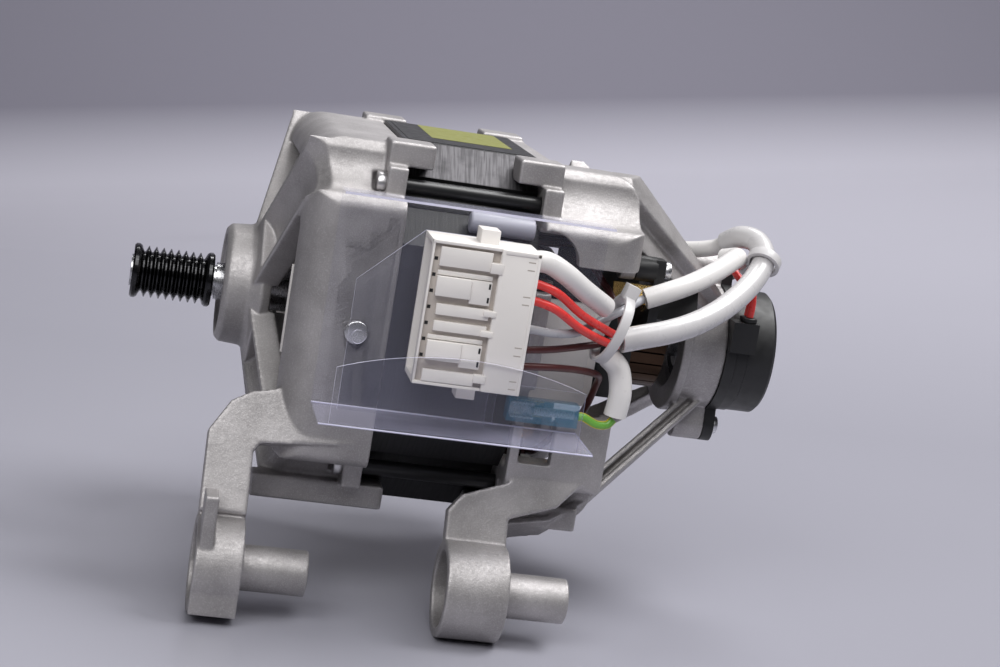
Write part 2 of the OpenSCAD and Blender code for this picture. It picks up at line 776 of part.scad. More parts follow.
module commutator_bars()
    color("peru") at_stack()
        for (i = [0:commutator_bars_n - 1])
            sector_x([
                [commutator_r - 3.5 + seat_gap, commutator_x - 4], [commutator_r + 2.5, commutator_x - 4],
                [commutator_r + 2.5, commutator_x - 1], [commutator_r, commutator_x],
                [commutator_r, commutator_end - 2], [commutator_r - 3.5 + seat_gap, commutator_end - 2]
            ], i * 360 / commutator_bars_n, 360 / commutator_bars_n - 2);

// Pulley with V grooves between two flanges
function groove_points(i) =
    let (x = -grooves_n * groove_pitch / 2 + i * groove_pitch)
    [
        [pulley_r - 0.1, x + 0.12], [pulley_r - groove_depth, x + groove_pitch / 2 - 0.2],
        [pulley_r - groove_depth, x + groove_pitch / 2 + 0.2], [pulley_r - 0.1, x + groove_pitch - 0.12]
    ];

module pulley()
    color(black_plastic) {
        edge = pulley_w / 2;
        flange_r = pulley_r + flange_rise;
        profile = concat(
            [[nose_d / 2 + seat_gap, -edge], [flange_r - 0.6, -edge], [flange_r, -edge + 0.6],
             [flange_r, -edge + flange_w - 0.6]],
            [for (i = [0:grooves_n - 1]) each groove_points(i)],
            [[flange_r, edge - flange_w + 0.6], [flange_r, edge - 0.6], [flange_r - 0.6, edge],
             [nose_d / 2 + seat_gap, edge]]
        );
        revolve_x(profile);
    }

// Ball bearings
module race(r0, r1, pitch, ball, x)
    at_stack() along_x() rotate_extrude($fn = 96)
        difference() {
            translate([r0, x - bearing_w / 2]) square([r1 - r0, bearing_w]);
            translate([pitch, x]) circle(ball + race_gap);
        }

function pitch_r(od, id) = (od + id) / 4;
function ball_r(od, id) = 0.235 * (od - id) / 2;
function shoulder(od, id) = 0.17 * (od - id) / 2;

module bearing_outer(od, id, x)
    color(steel) race(pitch_r(od, id) + shoulder(od, id), od / 2, pitch_r(od, id), ball_r(od, id), x);

module bearing_inner(od, id, x)
    color(steel) race(id / 2, pitch_r(od, id) - shoulder(od, id), pitch_r(od, id), ball_r(od, id), x);

module ball_places(od, id, x)
    at_stack() for (i = [0:balls_n - 1]) rotate([i * 360 / balls_n, 0, 0]) translate([x, pitch_r(od, id), 0])
        children();

module bearing_balls(od, id, x) color("white") ball_places(od, id, x) sphere(ball_r(od, id));

module bearing_cage(od, id, x)
    color("goldenrod") difference() {
        at_stack() ring_x(pitch_r(od, id) - 1.1, pitch_r(od, id) + 1.1, x - 1.2, x + bearing_w / 2 - 1.1);
        ball_places(od, id, x) rotate([90, 0, 0]) cylinder(r = ball_r(od, id) + race_gap, h = 6, center = true);
    }

module bearing_shields(od, id, x)
    color(black_plastic) at_stack() for (m = [-1, 1])
        translate([x + m * (bearing_w / 2 - 0.6), 0, 0])
            ring_x(pitch_r(od, id) - shoulder(od, id) + 0.4, pitch_r(od, id) + shoulder(od, id) - seat_gap, -0.3, 0.3);

module front_bearing_outer() bearing_outer(front_bearing_od, front_bearing_id, front_bearing_x);

module front_bearing_inner() bearing_inner(front_bearing_od, front_bearing_id, front_bearing_x);

module front_bearing_balls() bearing_balls(front_bearing_od, front_bearing_id, front_bearing_x);

module front_bearing_cage() bearing_cage(front_bearing_od, front_bearing_id, front_bearing_x);

module front_bearing_shields() bearing_shields(front_bearing_od, front_bearing_id, front_bearing_x);

module rear_bearing_outer() bearing_outer(rear_bearing_od, rear_bearing_id, rear_bearing_x);

module rear_bearing_inner() bearing_inner(rear_bearing_od, rear_bearing_id, rear_bearing_x);

module rear_bearing_balls() bearing_balls(rear_bearing_od, rear_bearing_id, rear_bearing_x);

module rear_bearing_cage() bearing_cage(rear_bearing_od, rear_bearing_id, rear_bearing_x);

module rear_bearing_shields() bearing_shields(rear_bearing_od, rear_bearing_id, rear_bearing_x);

module wave_washer() {
    back = front_bearing_x - bearing_w / 2;
    color(steel) at_stack() ring_x(front_bearing_od / 2 - 3, front_bearing_od / 2 - 0.2, back - 0.8, back - 0.1);
}

// Brush gear, near side; the far side is the same turned half a turn about the shaft
module at_brush(far) rotate([far ? 180 - brush_angle : -brush_angle, 0, 0]) children();

module brush(far)
    color("dimgray") at_stack() at_brush(far) difference() {
        translate([brush_x - brush_w / 2, -brush_back, -brush_t / 2])
            cube([brush_w, brush_l + 2, brush_t]);
        disc_x(commutator_r + race_gap, brush_x - brush_w, brush_x + brush_w);
    }

module brush_near() brush(false);

module brush_far() brush(true);

module tab_boss() {
    translate([rear_shoulder - rim_t, tab_screw_y, tab_screw_z]) rotate([0, 90, 0])
        cylinder(d = 8, h = rim_t + boss_rise);
    translate([rear_shoulder - rim_t, rim_w - bracket_w / 2 - 3, tab_screw_z]) cube([rim_t, 8, 5]);
}

module holder_tab(far)
    rotate([far ? 180 : 0, 0, 0]) translate([holder_x, tab_y, tab_z]) {
        cube([tab_t, 10, 18]);
        cube([tab_t, 6.2, 24.5]);
    }

module holder_leg(far)
    holder_screw_axis(far) translate([0, 0, -leg_l]) cylinder(d = 8, h = leg_l + 0.5);

module brush_holder(far)
    color(black_plastic) at_stack() difference() {
        union() {
            at_brush(far) translate([holder_x, -holder_end, -holder_h / 2])
                cube([holder_l, holder_end - holder_from, holder_h]);
            holder_tab(far);
            holder_leg(far);
        }
        at_brush(far)
            translate([brush_x - brush_w / 2 - slide_gap, -holder_end + holder_end_wall, -brush_t / 2 - slide_gap])
                cube([brush_w + 2 * slide_gap, holder_end, brush_t + 2 * slide_gap]);
        holder_screw_axis(far) cylinder(d = 3 + 2 * seat_gap, h = 20, center = true);
    }

module holder_screw_axis(far)
    rotate([far ? 180 : 0, 0, 0])
        translate([holder_x, tab_screw_y, tab_screw_z]) rotate([0, 90, 0]) children();

module brush_holder_near() brush_holder(false);

module brush_holder_far() brush_holder(true);

module holder_screws()
    color(steel) at_stack() for (far = [false, true]) holder_screw_axis(far) {
        translate([0, 0, -holder_screw_l]) cylinder(d = 3, h = tab_t + holder_screw_l + seat_gap);
        translate([0, 0, tab_t + seat_gap]) cylinder(d = 6, h = 2.2);
    }

module brush_terminals()
    color("gold") at_stack() for (far = [false, true]) at_brush(far)
        translate([holder_x - seat_gap, -holder_end - blade_rise, -blade_w / 2]) {
            translate([-12, 0, 0]) cube([12, 0.8, blade_w]);
            translate([-0.8, 0, 0]) cube([0.8, 8, blade_w]);
        }

// Brush spring between the brush and the end of its holder
function spring_point(s) =
    let (run = holder_end - holder_end_wall - brush_back - spring_wire - 0.2, a = 360 * spring_turns * s)
    [
        brush_x + (spring_d - spring_wire) / 2 * cos(a), -brush_back - spring_wire / 2 - 0.1 - run * s,
        (spring_d - spring_wire) / 2 * sin(a)
    ];

module brush_spring(far)
    color(steel) at_stack() at_brush(far)
        sweep([for (i = [0:spring_turns * spring_steps]) spring_point(i / (spring_turns * spring_steps))],
              spring_wire, 6);

module brush_spring_near() brush_spring(false);

module brush_spring_far() brush_spring(true);

// Tacho generator behind the rear hub
cap_r = cap_d / 2;
cap_flange = 3.5;
block_y = -24;
block_w = 13;
block_z = 3;
block_h = 10;
grommet_d = 5;

module tacho_magnet()
    color("dimgray") at_stack() ring_x(rear_bearing_id / 2, 9, rear_hub_end + 2, shaft_end - 1);

module tacho_coil()
    color("saddlebrown") at_stack()
        ring_x(10, cap_r - cap_wall - seat_gap, rear_hub_end + 2, cap_end - cap_wall - seat_gap);

module tacho_cover()
    color(black_plastic) at_stack() difference() {
        union() {
            revolve_x([
                [0, rear_hub_end], [cap_r + 1.2, rear_hub_end], [cap_r + 1.2, rear_hub_end + cap_flange],
                [cap_r + 0.3, rear_hub_end + cap_flange + 0.4], [cap_r + 0.3, rear_hub_end + cap_flange + 4],
                [cap_r, rear_hub_end + cap_flange + 4.3],
                [cap_r, cap_end - 1], [cap_r - 1, cap_end], [0, cap_end]
            ]);
            slab_x(rear_hub_end, rear_hub_end + cap_flange) for (a = cap_ear_angles) cap_ear_outline(a);
            translate([rear_hub_end, block_y, block_z]) cube([8.5, block_w, block_h]);
        }
        disc_x(cap_r - cap_wall, rear_hub_end - 1, cap_end - cap_wall);
        cap_screw_holes();
    }

module cap_screw_holes()
    along_x() for (a = cap_ear_angles) rotate(a) translate([cap_ear_r, 0, rear_hub_end - 8])
        cylinder(d = 3 + 2 * seat_gap, h = 20);

module tacho_screws()
    color(steel) at_stack() along_x() for (a = cap_ear_angles) rotate(a) translate([cap_ear_r, 0, 0]) {
        translate([0, 0, rear_hub_end - 7]) cylinder(d = 3, h = cap_flange + 7 + seat_gap);
        translate([0, 0, rear_hub_end + cap_flange + seat_gap]) cylinder(d = 5.8, h = 2.2);
    }

module tacho_grommet()
    color("black") at_stack() translate([rear_hub_end + 5.5, -19.9, block_z + block_h + seat_gap])
        intersection() {
            cylinder(d = 7, h = 1.6);
            cube([grommet_d - 0.6, 7, 4], center = true);
        }

// Connector: socket housing, cover over the wire end and the contacts
conn_x0 = conn_x - conn_w / 2;
conn_y0 = conn_y - conn_d / 2;
conn_z0 = conn_z - conn_h / 2;
cover_lift = 0.8;
groove_d = 1.1;

module connector_housing()
    color(cream_plastic) at_stack() difference() {
        union() {
            translate([conn_x0, conn_y0, conn_z0]) cube([conn_split, conn_d, conn_h]);
            translate([conn_x - 1.5, conn_y - 3, conn_z0 - 4]) cube([5.5, 8, conn_h + 8]);
        }
        translate([conn_x0 - 1, conn_y0 + 3, conn_z0 + socket_wall])
            cube([socket_depth + 1, conn_d - 3 - socket_wall, conn_h - 2 * socket_wall]);
        for (i = [0:5])
            translate([conn_x0 + 2.5, conn_y0 - 1, conn_z0 + 4.6 + i * 6.2]) cube([conn_split - 4, groove_d + 1, 2.2]);
    }

module connector_cover()
    color(cream_plastic) at_stack()
        translate([conn_x0 + conn_split + seat_gap, conn_y0 - cover_lift, conn_z0])
            cube([conn_w - conn_split - seat_gap, conn_d + cover_lift, conn_h]);

module connector_terminals()
    color("lightgray") at_stack() for (i = [0:contacts_n - 1])
        translate([
            conn_x0 + socket_depth - 10, conn_y + 0.5, conn_z - 0.4 + (i - (contacts_n - 1) / 2) * contact_pitch
        ]) cube([10 - seat_gap, 5, 0.8]);

// Clear film folded into a tray behind and below the connector
module film_plate(y, outline)
    translate([0, y, 0]) rotate([90, 0, 0]) linear_extrude(film_t) polygon(outline);

module insulation_sheet()
    color([0.8, 0.8, 0.95, 0.4]) at_stack() difference() {
        union() {
            film_plate(film_y, [
                [film_x0, film_z0], [14, film_z0], [14, -9], [film_x1, -9], [film_x1, film_z1], [film_x0, film_z1]
            ]);
            translate([film_x0, film_y - top_fold, film_z1 - film_t]) cube([film_x1 - film_x0, top_fold, film_t]);
            translate([film_x0, film_front, film_z0]) cube([film_x1 - film_x0, film_y - film_front, film_t]);
            translate([0, film_front + film_t, 0]) rotate([90, 0, 0]) linear_extrude(film_t)
                intersection() {
                    translate([film_x0 + 3, film_z0]) square([film_x1 - film_x0 - 8, 40]);
                    translate([0, lip_top - lip_arch_r]) circle(lip_arch_r);
                }
            film_plate(conn_y0 + conn_d + film_t, [
                [10, film_z0], [-34, film_z0], [-34, 18], [conn_x0, conn_z0 + conn_h], [10, conn_z0 + conn_h]
            ]);
        }
        sheet_screw_axis() cylinder(d = 4 + 2 * seat_gap, h = 30, center = true);
    }

module sheet_screw_axis() translate([-31, film_y - film_t, 1]) rotate([90, 0, 0]) children();

module sheet_screw()
    color(steel) at_stack() sheet_screw_axis() {
        translate([0, 0, seat_gap]) cylinder(d = 7, h = 2);
        translate([0, 0, -film_t]) cylinder(d = 4, h = film_t + 1);
    }

// Thermal cut-out in its tube, lying on the near chamfer
protector_d = 6.4;
protector_z = 37;

module thermal_protector()
    color("white") at_stack()
        translate([-1, protector_z - half_w - half_flat - (protector_d / 2 + seat_gap) * sqrt(2), protector_z])
            rotate([0, 90, 0]) cylinder(d = protector_d, h = 20);

// Leads and sleeves
module red_leads() color("red") at_stack() for (route = red_routes) lead(route, lead_d);

module grey_lead() color("darkgray") at_stack() lead(grey_route, lead_d);

module stator_leads() color("maroon") at_stack() for (route = stator_routes) lead(route, lead_d - 0.4);

module tacho_leads() color("red") at_stack() for (route = tacho_routes) lead(route, lead_d - 0.2);

module connector_sleeve() color("lightgray") at_stack() lead(connector_sleeve_route, grey_sleeve_d);

module white_sleeve() color("white") at_stack() lead(white_route, white_sleeve_d);

module brush_sleeve() color("lightgray") at_stack() lead(brush_sleeve_route, grey_sleeve_d);

module far_sleeve() color("lightgray") at_stack() lead(far_route, grey_sleeve_d - 1);

module drop_sleeve() color("lightgray") at_stack() lead(drop_route, grey_sleeve_d + 0.6);

module earth_lead() color("limegreen") at_stack() lead(earth_route, lead_d);

module earth_tab()
    color("gold") at_stack() translate([rear_face - 1, film_y - tab_plate, earth_z - tab_h / 2])
        cube([9, tab_plate, tab_h]);

module earth_terminal()
    color("deepskyblue") at_stack() difference() {
        translate([earth_x, earth_y - earth_d / 2, earth_z - earth_h / 2]) cube([earth_l, earth_d, earth_h]);
        translate([earth_x - 1, film_y - tab_plate - seat_gap, earth_z - tab_h / 2 - seat_gap])
            cube([16, 4, tab_h + 2 * seat_gap]);
        translate([rear_face, film_y, earth_z - earth_h]) cube([earth_l, 4, 2 * earth_h]);
    }

// Cable ties: a strap with its lock
module cable_tie(r) {
    rotate_extrude($fn = 48) translate([r, -tie_w / 2]) square([tie_t, tie_w]);
    translate([-2.5, r, -tie_w / 2 - 0.5]) cube([5, 4.5, tie_w + 1]);
}

module bundle_tie()
    color("white") at_stack() translate(bundle_place) rotate([0, 90, 0]) rotate([0, 0, 90]) rotate([18, 0, 0])
        cable_tie(bundle_r);

module loop_tie()
    color("white") at_stack() translate(loop_place) rotate([-40, 30, 0]) cable_tie(white_sleeve_d / 2 + 0.6);

front_bracket();
rear_bracket();
stator_core();
field_coil_upper();
field_coil_lower();
front_insulator();
rear_insulator();
tie_bolts();
shaft();
rotor_core();
armature_winding();
commutator_core();
commutator_bars();
pulley();
front_bearing_outer();
front_bearing_inner();
front_bearing_balls();
front_bearing_cage();
front_bearing_shields();
wave_washer();
rear_bearing_outer();
rear_bearing_inner();
rear_bearing_balls();
rear_bearing_cage();
rear_bearing_shields();
brush_holder_near();
brush_holder_far();
brush_near();
brush_far();
brush_spring_near();
brush_spring_far();
brush_terminals();
holder_screws();
tacho_magnet();
tacho_coil();
tacho_cover();
tacho_grommet();
tacho_screws();
connector_housing();
connector_cover();
connector_terminals();
insulation_sheet();
sheet_screw();
thermal_protector();
red_leads();
grey_lead();
stator_leads();
tacho_leads();
connector_sleeve();
white_sleeve();
brush_sleeve();
far_sleeve();
drop_sleeve();
earth_lead();
earth_terminal();
earth_tab();
bundle_tie();
loop_tie();
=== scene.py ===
"""Looks of the washing machine motor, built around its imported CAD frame.

The frame's lengths are in metres. Points from the middle of the stack and diameters are in mm, and so are
the values whose names end in MM or mm.
"""

import json
import math

import bmesh
import bpy
from mathutils import Matrix, Vector

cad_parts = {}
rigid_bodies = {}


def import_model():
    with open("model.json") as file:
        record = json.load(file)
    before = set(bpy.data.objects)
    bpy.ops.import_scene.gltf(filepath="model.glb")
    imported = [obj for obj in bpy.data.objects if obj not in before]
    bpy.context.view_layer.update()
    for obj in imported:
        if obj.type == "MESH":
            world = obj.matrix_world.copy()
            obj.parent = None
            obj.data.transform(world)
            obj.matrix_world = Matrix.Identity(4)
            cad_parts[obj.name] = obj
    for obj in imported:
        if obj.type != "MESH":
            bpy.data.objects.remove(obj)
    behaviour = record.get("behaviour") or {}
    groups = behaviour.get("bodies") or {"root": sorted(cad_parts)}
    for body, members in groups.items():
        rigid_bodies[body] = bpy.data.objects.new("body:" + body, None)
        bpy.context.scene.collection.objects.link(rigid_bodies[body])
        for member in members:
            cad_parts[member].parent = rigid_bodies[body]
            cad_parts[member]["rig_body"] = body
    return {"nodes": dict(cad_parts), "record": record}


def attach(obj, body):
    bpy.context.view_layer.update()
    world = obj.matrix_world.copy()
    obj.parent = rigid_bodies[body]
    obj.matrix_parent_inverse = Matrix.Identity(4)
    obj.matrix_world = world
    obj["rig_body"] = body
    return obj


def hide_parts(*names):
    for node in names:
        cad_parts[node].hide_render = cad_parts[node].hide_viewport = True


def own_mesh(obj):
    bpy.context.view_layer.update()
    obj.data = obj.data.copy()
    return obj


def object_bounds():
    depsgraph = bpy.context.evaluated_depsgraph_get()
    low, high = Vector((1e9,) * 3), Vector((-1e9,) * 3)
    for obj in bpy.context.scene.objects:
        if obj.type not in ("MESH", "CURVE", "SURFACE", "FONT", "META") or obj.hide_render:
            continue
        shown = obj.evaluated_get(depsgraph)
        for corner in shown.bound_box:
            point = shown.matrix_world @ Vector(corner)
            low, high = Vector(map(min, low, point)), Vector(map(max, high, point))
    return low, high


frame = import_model()
cad_box = [list(corner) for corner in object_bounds()]

MM = 0.001
# Distance from the belt plane, where the frame's origin is, to the middle of the stack
BELT_TO_STACK = 84.4
STATIC = "frame"


def at_stack(point):
    """A point in mm from the middle of the stack, in the frame's metres."""
    x, y, z = point
    return Vector(((x + BELT_TO_STACK) * MM, y * MM, z * MM))


# Camera, fitted to the photograph; its place is in mm from the middle of the stack
CAMERA_PLACE = (-106.22, -669.62, 116.54)
CAMERA_HEADING = math.radians(10.9955)
CAMERA_DIP = math.radians(10.1055)
CAMERA_ROLL = math.radians(9.4337)
CAMERA_LENS = 75.75


def make_camera():
    """The camera from its heading, its dip below level and its roll."""
    heading = Vector((math.sin(CAMERA_HEADING), math.cos(CAMERA_HEADING), 0))
    level = Vector((math.cos(CAMERA_HEADING), -math.sin(CAMERA_HEADING), 0))
    upright = Vector((0, 0, 1))
    forward = heading * math.cos(CAMERA_DIP) - upright * math.sin(CAMERA_DIP)
    over = heading * math.sin(CAMERA_DIP) + upright * math.cos(CAMERA_DIP)
    right = level * math.cos(CAMERA_ROLL) + over * math.sin(CAMERA_ROLL)
    up = over * math.cos(CAMERA_ROLL) - level * math.sin(CAMERA_ROLL)
    data = bpy.data.cameras.new("camera")
    data.sensor_width = 36
    data.lens = CAMERA_LENS
    data.clip_start = 0.01
    camera = bpy.data.objects.new("camera", data)
    turn = Matrix((right, up, -forward)).transposed().to_4x4()
    camera.matrix_world = Matrix.Translation(at_stack(CAMERA_PLACE)) @ turn
    bpy.context.scene.collection.objects.link(camera)
    bpy.context.scene.camera = camera


make_camera()


# Routes of the leads and sleeves, in mm from the middle of the stack
RED_ROUTES = [
    [(15.8, -79, 25), (18, -79, 25), (24, -78.5, 23), (33, -73.5, 17), (42, -67.2, 12.6),
     (47.3, -63.7, 10.3)],
    [(15.8, -79, 20), (18, -79, 20), (24, -78.7, 18.3), (33, -74, 13), (42, -67, 9),
     (47.6, -63.7, 7.4)],
]
GREY_ROUTE = [
    (15.8, -78, 11.5), (18, -78, 11.5), (25, -76.5, 11), (33, -71, 11.2), (42, -63, 14.6), (50, -57, 18),
    (56.2, -50.4, 20.4),
]
STATOR_ROUTES = [
    [(15.9, -76, 5), (18, -76, 5), (26, -73, 5.5), (36, -66, 6.2), (43, -61, 7), (48.8, -57.6, 9.5),
     (50, -53, 14), (47, -48, 20), (41, -38, 28), (36, -28, 36), (34.5, -22.5, 38), (32, -22.5, 38)],
    [(15.9, -76, 0), (18, -76, 0), (26, -73, 0), (36, -66, -1), (44, -60, -3), (46, -52, -8),
     (44, -47.5, -18.5), (40, -38, -27), (36, -28, -36), (34.5, -22.5, -38), (32, -22.5, -38)],
]
TACHO_ROUTES = [
    [(100.5, -20.8, 14.8), (100.5, -20.8, 20), (99.5, -20, 25), (96.5, -16.5, 29.5), (92.2, -11.8, 32)],
    [(100.5, -18, 14.8), (100.5, -18, 19), (98.5, -15.5, 23.5), (95.5, -12, 27.5), (91, -8.2, 31)],
]
CONNECTOR_SLEEVE_ROUTE = [
    (16.1, -77, 31.5), (20, -77, 31.4), (26, -76, 28.5), (33, -72.5, 24), (41.5, -66, 19),
]
WHITE_ROUTE = [
    (48.5, -63.2, 9), (55, -62, 10.8), (63.5, -60, 13), (72.5, -56, 16), (81.5, -49.5, 20), (90, -41, 25),
    (96.5, -33, 30.5), (99.5, -27, 35.5), (98, -21.5, 39.5), (94, -16.5, 39.8), (90.5, -12, 36.5),
]
BRUSH_SLEEVE_ROUTE = [
    (57.2, -50, 20.6), (64, -49.8, 23.6), (72, -46, 26.6), (81, -38.5, 30.2), (88.5, -30, 33.4),
    (91.3, -24.5, 34), (88.5, -20, 32.5),
]
FAR_ROUTE = [
    (90.2, -11.6, 36.2), (88, -8.7, 34.2), (82, -4, 32), (75, 2, 30.5), (67, 9, 29.5), (58, 21, 26),
    (52, 31, 17), (49.5, 39, 4), (51, 44, -8), (54, 46.4, -17),
]
DROP_ROUTE = [(46, -62, 3.4), (49.5, -63, 0), (51, -64, -7), (50.5, -64, -14)]
EARTH_ROUTE = [
    (39.2, -64.5, -15.5), (41, -64.5, -15.5), (45, -64.4, -17.2), (48.5, -64.2, -17), (50.2, -64, -15.1),
]
LEAD_D = 2.6
STATOR_LEAD_D = 2.2
TACHO_LEAD_D = 2.4
GREY_SLEEVE_D = 6.4
WHITE_SLEEVE_D = 7.4
FAR_SLEEVE_D = 5.4
DROP_SLEEVE_D = 7.0
SLEEVE_WALL = 0.7


def spline(points, steps):
    """Points on a smooth curve through the given points."""
    found = []
    for i in range(len(points) - 1):
        before = points[max(i - 1, 0)]
        start, end = points[i], points[i + 1]
        after = points[min(i + 2, len(points) - 1)]
        for s in range(steps):
            t = s / steps
            found.append(0.5 * (2 * start + (end - before) * t
                                + (2 * before - 5 * start + 4 * end - after) * t ** 2
                                + (3 * start - before - 3 * end + after) * t ** 3))
    return found + [points[-1]]


def rings_along(path, radius, sides):
    """Rings of points square to a path, with no twist from one to the next."""
    last = len(path) - 1
    tangents = [(path[min(i + 1, last)] - path[max(i - 1, 0)]).normalized() for i in range(last + 1)]
    side = tangents[0].orthogonal().normalized()
    rings = []
    for place, tangent in zip(path, tangents):
        side = (side - tangent * side.dot(tangent)).normalized()
        other = tangent.cross(side)
        turns = [2 * math.pi * k / sides for k in range(sides)]
        rings.append([place + radius * (math.cos(a) * side + math.sin(a) * other) for a in turns])
    return rings


def add_tube(mesh, route, diameter, wall=None, sides=20, steps=10):
    """Adds a round lead to a bmesh, solid or with a bore, along a route in mm."""
    path = spline([at_stack(p) for p in route], steps)
    outer = [[mesh.verts.new(p) for p in ring] for ring in rings_along(path, diameter * MM / 2, sides)]
    faces = skin(mesh, outer)
    if wall is None:
        mesh.faces.new(reversed(outer[0]))
        mesh.faces.new(outer[-1])
    else:
        bore = rings_along(path, (diameter / 2 - wall) * MM, sides)
        inner = [[mesh.verts.new(p) for p in ring] for ring in bore]
        skin(mesh, inner[::-1])
        skin(mesh, [inner[0], outer[0]])
        skin(mesh, [outer[-1], inner[-1]])
    return faces


def skin(mesh, rings):
    """Quads between each ring and the next; returned with the place round the ring of each."""
    faces = []
    for low, high in zip(rings, rings[1:]):
        count = len(low)
        for k in range(count):
            n = (k + 1) % count
            faces.append((mesh.faces.new((low[k], low[n], high[n], high[k])), k / count))
    return faces


SMOOTH_ANGLE = math.radians(40)


def new_piece(name, mesh, material, body=STATIC):
    """An object from a bmesh, shaded smooth up to an angle and carried by a body."""
    data = bpy.data.meshes.new(name)
    mesh.normal_update()
    mesh.to_mesh(data)
    mesh.free()
    piece = bpy.data.objects.new(name, data)
    bpy.context.scene.collection.objects.link(piece)
    for m in material if isinstance(material, list) else [material]:
        data.materials.append(m)
    data.shade_smooth()
    data.set_sharp_from_angle(angle=SMOOTH_ANGLE)
    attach(piece, body)
    return piece


def slot_of(node):
    """The material slot that the record gives a CAD node."""
    return next(s["material_slot"] for s in frame["record"]["subparts"] if s["node"] == node)


def stand_for(piece, node):
    """The piece is shown in place of a CAD node, which is hidden."""
    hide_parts(node)
    return piece


# Materials
class Finish:
    """A node material: one Principled shader, with noise in object space for its variation."""

    def __init__(self, name, rough, metallic=0.0):
        self.material = bpy.data.materials.new(name)
        self.material.use_nodes = True
        self.nodes = self.material.node_tree.nodes
        self.links = self.material.node_tree.links
        self.shader = self.nodes["Principled BSDF"]
        self.shader.inputs["Roughness"].default_value = rough
        self.shader.inputs["Metallic"].default_value = metallic
        self.place = self.nodes.new("ShaderNodeTexCoord").outputs["Object"]
        self.height = None

    def set(self, **values):
        """Sets sockets of the shader, named with underscores for spaces."""
        for name, value in values.items():
            self.shader.inputs[name.replace("_", " ")].default_value = value
        return self

    def noise(self, size_mm, detail=4.0, stretch=(1, 1, 1)):
        """Noise from 0 to 1 with features of about that size."""
        node = self.nodes.new("ShaderNodeTexNoise")
        node.inputs["Scale"].default_value = 1 / (size_mm * MM)
        node.inputs["Detail"].default_value = detail
        source = self.place
        if stretch != (1, 1, 1):
            mapping = self.nodes.new("ShaderNodeMapping")
            mapping.inputs["Scale"].default_value = stretch
            self.links.new(source, mapping.inputs["Vector"])
            source = mapping.outputs["Vector"]
        self.links.new(source, node.inputs["Vector"])
        return node.outputs["Fac"]

    def spread(self, source, low, high, start=0.3, end=0.7):
        """Maps a value that lies between start and end to between low and high."""
        node = self.nodes.new("ShaderNodeMapRange")
        for name, value in (("From Min", start), ("From Max", end), ("To Min", low), ("To Max", high)):
            node.inputs[name].default_value = value
        self.links.new(source, node.inputs["Value"])
        return node.outputs["Result"]

    def mix(self, factor, a, b):
        """A colour between a and b, each a colour or a socket."""
        node = self.nodes.new("ShaderNodeMix")
        node.data_type = "RGBA"
        self.links.new(factor, node.inputs["Factor"])
        for name, value in (("A", a), ("B", b)):
            socket = next(s for s in node.inputs if s.name == name and s.type == "RGBA")
            if isinstance(value, tuple):
                socket.default_value = (*value, 1)
            else:
                self.links.new(value, socket)
        return next(s for s in node.outputs if s.type == "RGBA")

    def math(self, operation, a, b):
        """The result of an operation on two values, each a number or a socket."""
        node = self.nodes.new("ShaderNodeMath")
        node.operation = operation
        for socket, value in zip(node.inputs, (a, b)):
            if isinstance(value, (int, float)):
                socket.default_value = value
            else:
                self.links.new(value, socket)
        return node.outputs["Value"]

    def axis(self, name):
        """A coordinate of the surface, in the frame's metres."""
        node = self.nodes.new("ShaderNodeSeparateXYZ")
        self.links.new(self.place, node.inputs["Vector"])
        return node.outputs[name]

    def colour(self, source):
        """Drives the shader's colour."""
        self.links.new(source, self.shader.inputs["Base Color"])
        return self

    def rough(self, source):
        """Drives the shader's roughness."""
        self.links.new(source, self.shader.inputs["Roughness"])
        return self

    def bump(self, source, depth_mm):
        """Adds relief of about that depth, on top of any before it."""
        node = self.nodes.new("ShaderNodeBump")
        node.inputs["Distance"].default_value = depth_mm * MM
        node.inputs["Strength"].default_value = 1
        self.links.new(source, node.inputs["Height"])
        if self.height is not None:
            self.links.new(self.height, node.inputs["Normal"])
        self.height = node.outputs["Normal"]
        self.links.new(self.height, self.shader.inputs["Normal"])
        return self


def shade(colour, factor):
    """The colour made darker or paler."""
    return tuple(min(c * factor, 1.0) for c in colour)


def moulded(name, colour, rough, vary=0.08, grain_mm=0.35, depth_mm=0.012, **sockets):
    """Moulded plastic or rubber: slight mottling, uneven gloss and a fine grain."""
    f = Finish(name, rough)
    f.colour(f.mix(f.noise(9), shade(colour, 1 - vary), shade(colour, 1 + vary)))
    f.rough(f.spread(f.noise(3), max(rough - 0.07, 0.03), rough + 0.07))
    f.bump(f.noise(grain_mm), depth_mm)
    return f.set(**sockets).material


def turned_metal(name, colour, rough, vary=0.1, stretch=(6, 1, 1), **sockets):
    """Machined metal with fine tool lines round the shaft."""
    f = Finish(name, rough, metallic=1.0)
    f.colour(f.mix(f.noise(6), shade(colour, 1 - vary), shade(colour, 1 + vary)))
    lines = f.noise(0.8, stretch=stretch)
    f.rough(f.spread(lines, max(rough - 0.1, 0.05), rough + 0.1))
    f.bump(lines, 0.01)
    return f.set(**sockets).material


def cast_aluminium():
    """Die-cast skin: sparkling grain, soft stains, and brighter on ridges, partly from wear and partly as a
    painted highlight.
    """
    dark, pale, bright = (0.32, 0.305, 0.303), (0.47, 0.45, 0.45), (0.76, 0.74, 0.745)
    f = Finish("cast_aluminium", 0.5, metallic=0.72)
    stains = f.mix(f.spread(f.noise(16, detail=6), 0, 1), dark, pale)
    specks = f.spread(f.noise(0.42, detail=2), 0, 0.26, start=0.5, end=0.72)
    grained = f.mix(specks, stains, bright)
    geometry = f.nodes.new("ShaderNodeNewGeometry")
    # Brighter on sharp ridges: partly edge wear, partly a painted highlight
    ridge_wear_and_highlight = f.spread(geometry.outputs["Pointiness"], 0, 0.8, start=0.52, end=0.62)
    f.colour(f.mix(ridge_wear_and_highlight, grained, bright))
    f.rough(f.spread(f.noise(1.1), 0.46, 0.64))
    f.bump(f.noise(0.45, detail=3), 0.06)
    f.bump(f.noise(5, detail=2), 0.10)
    return f.material


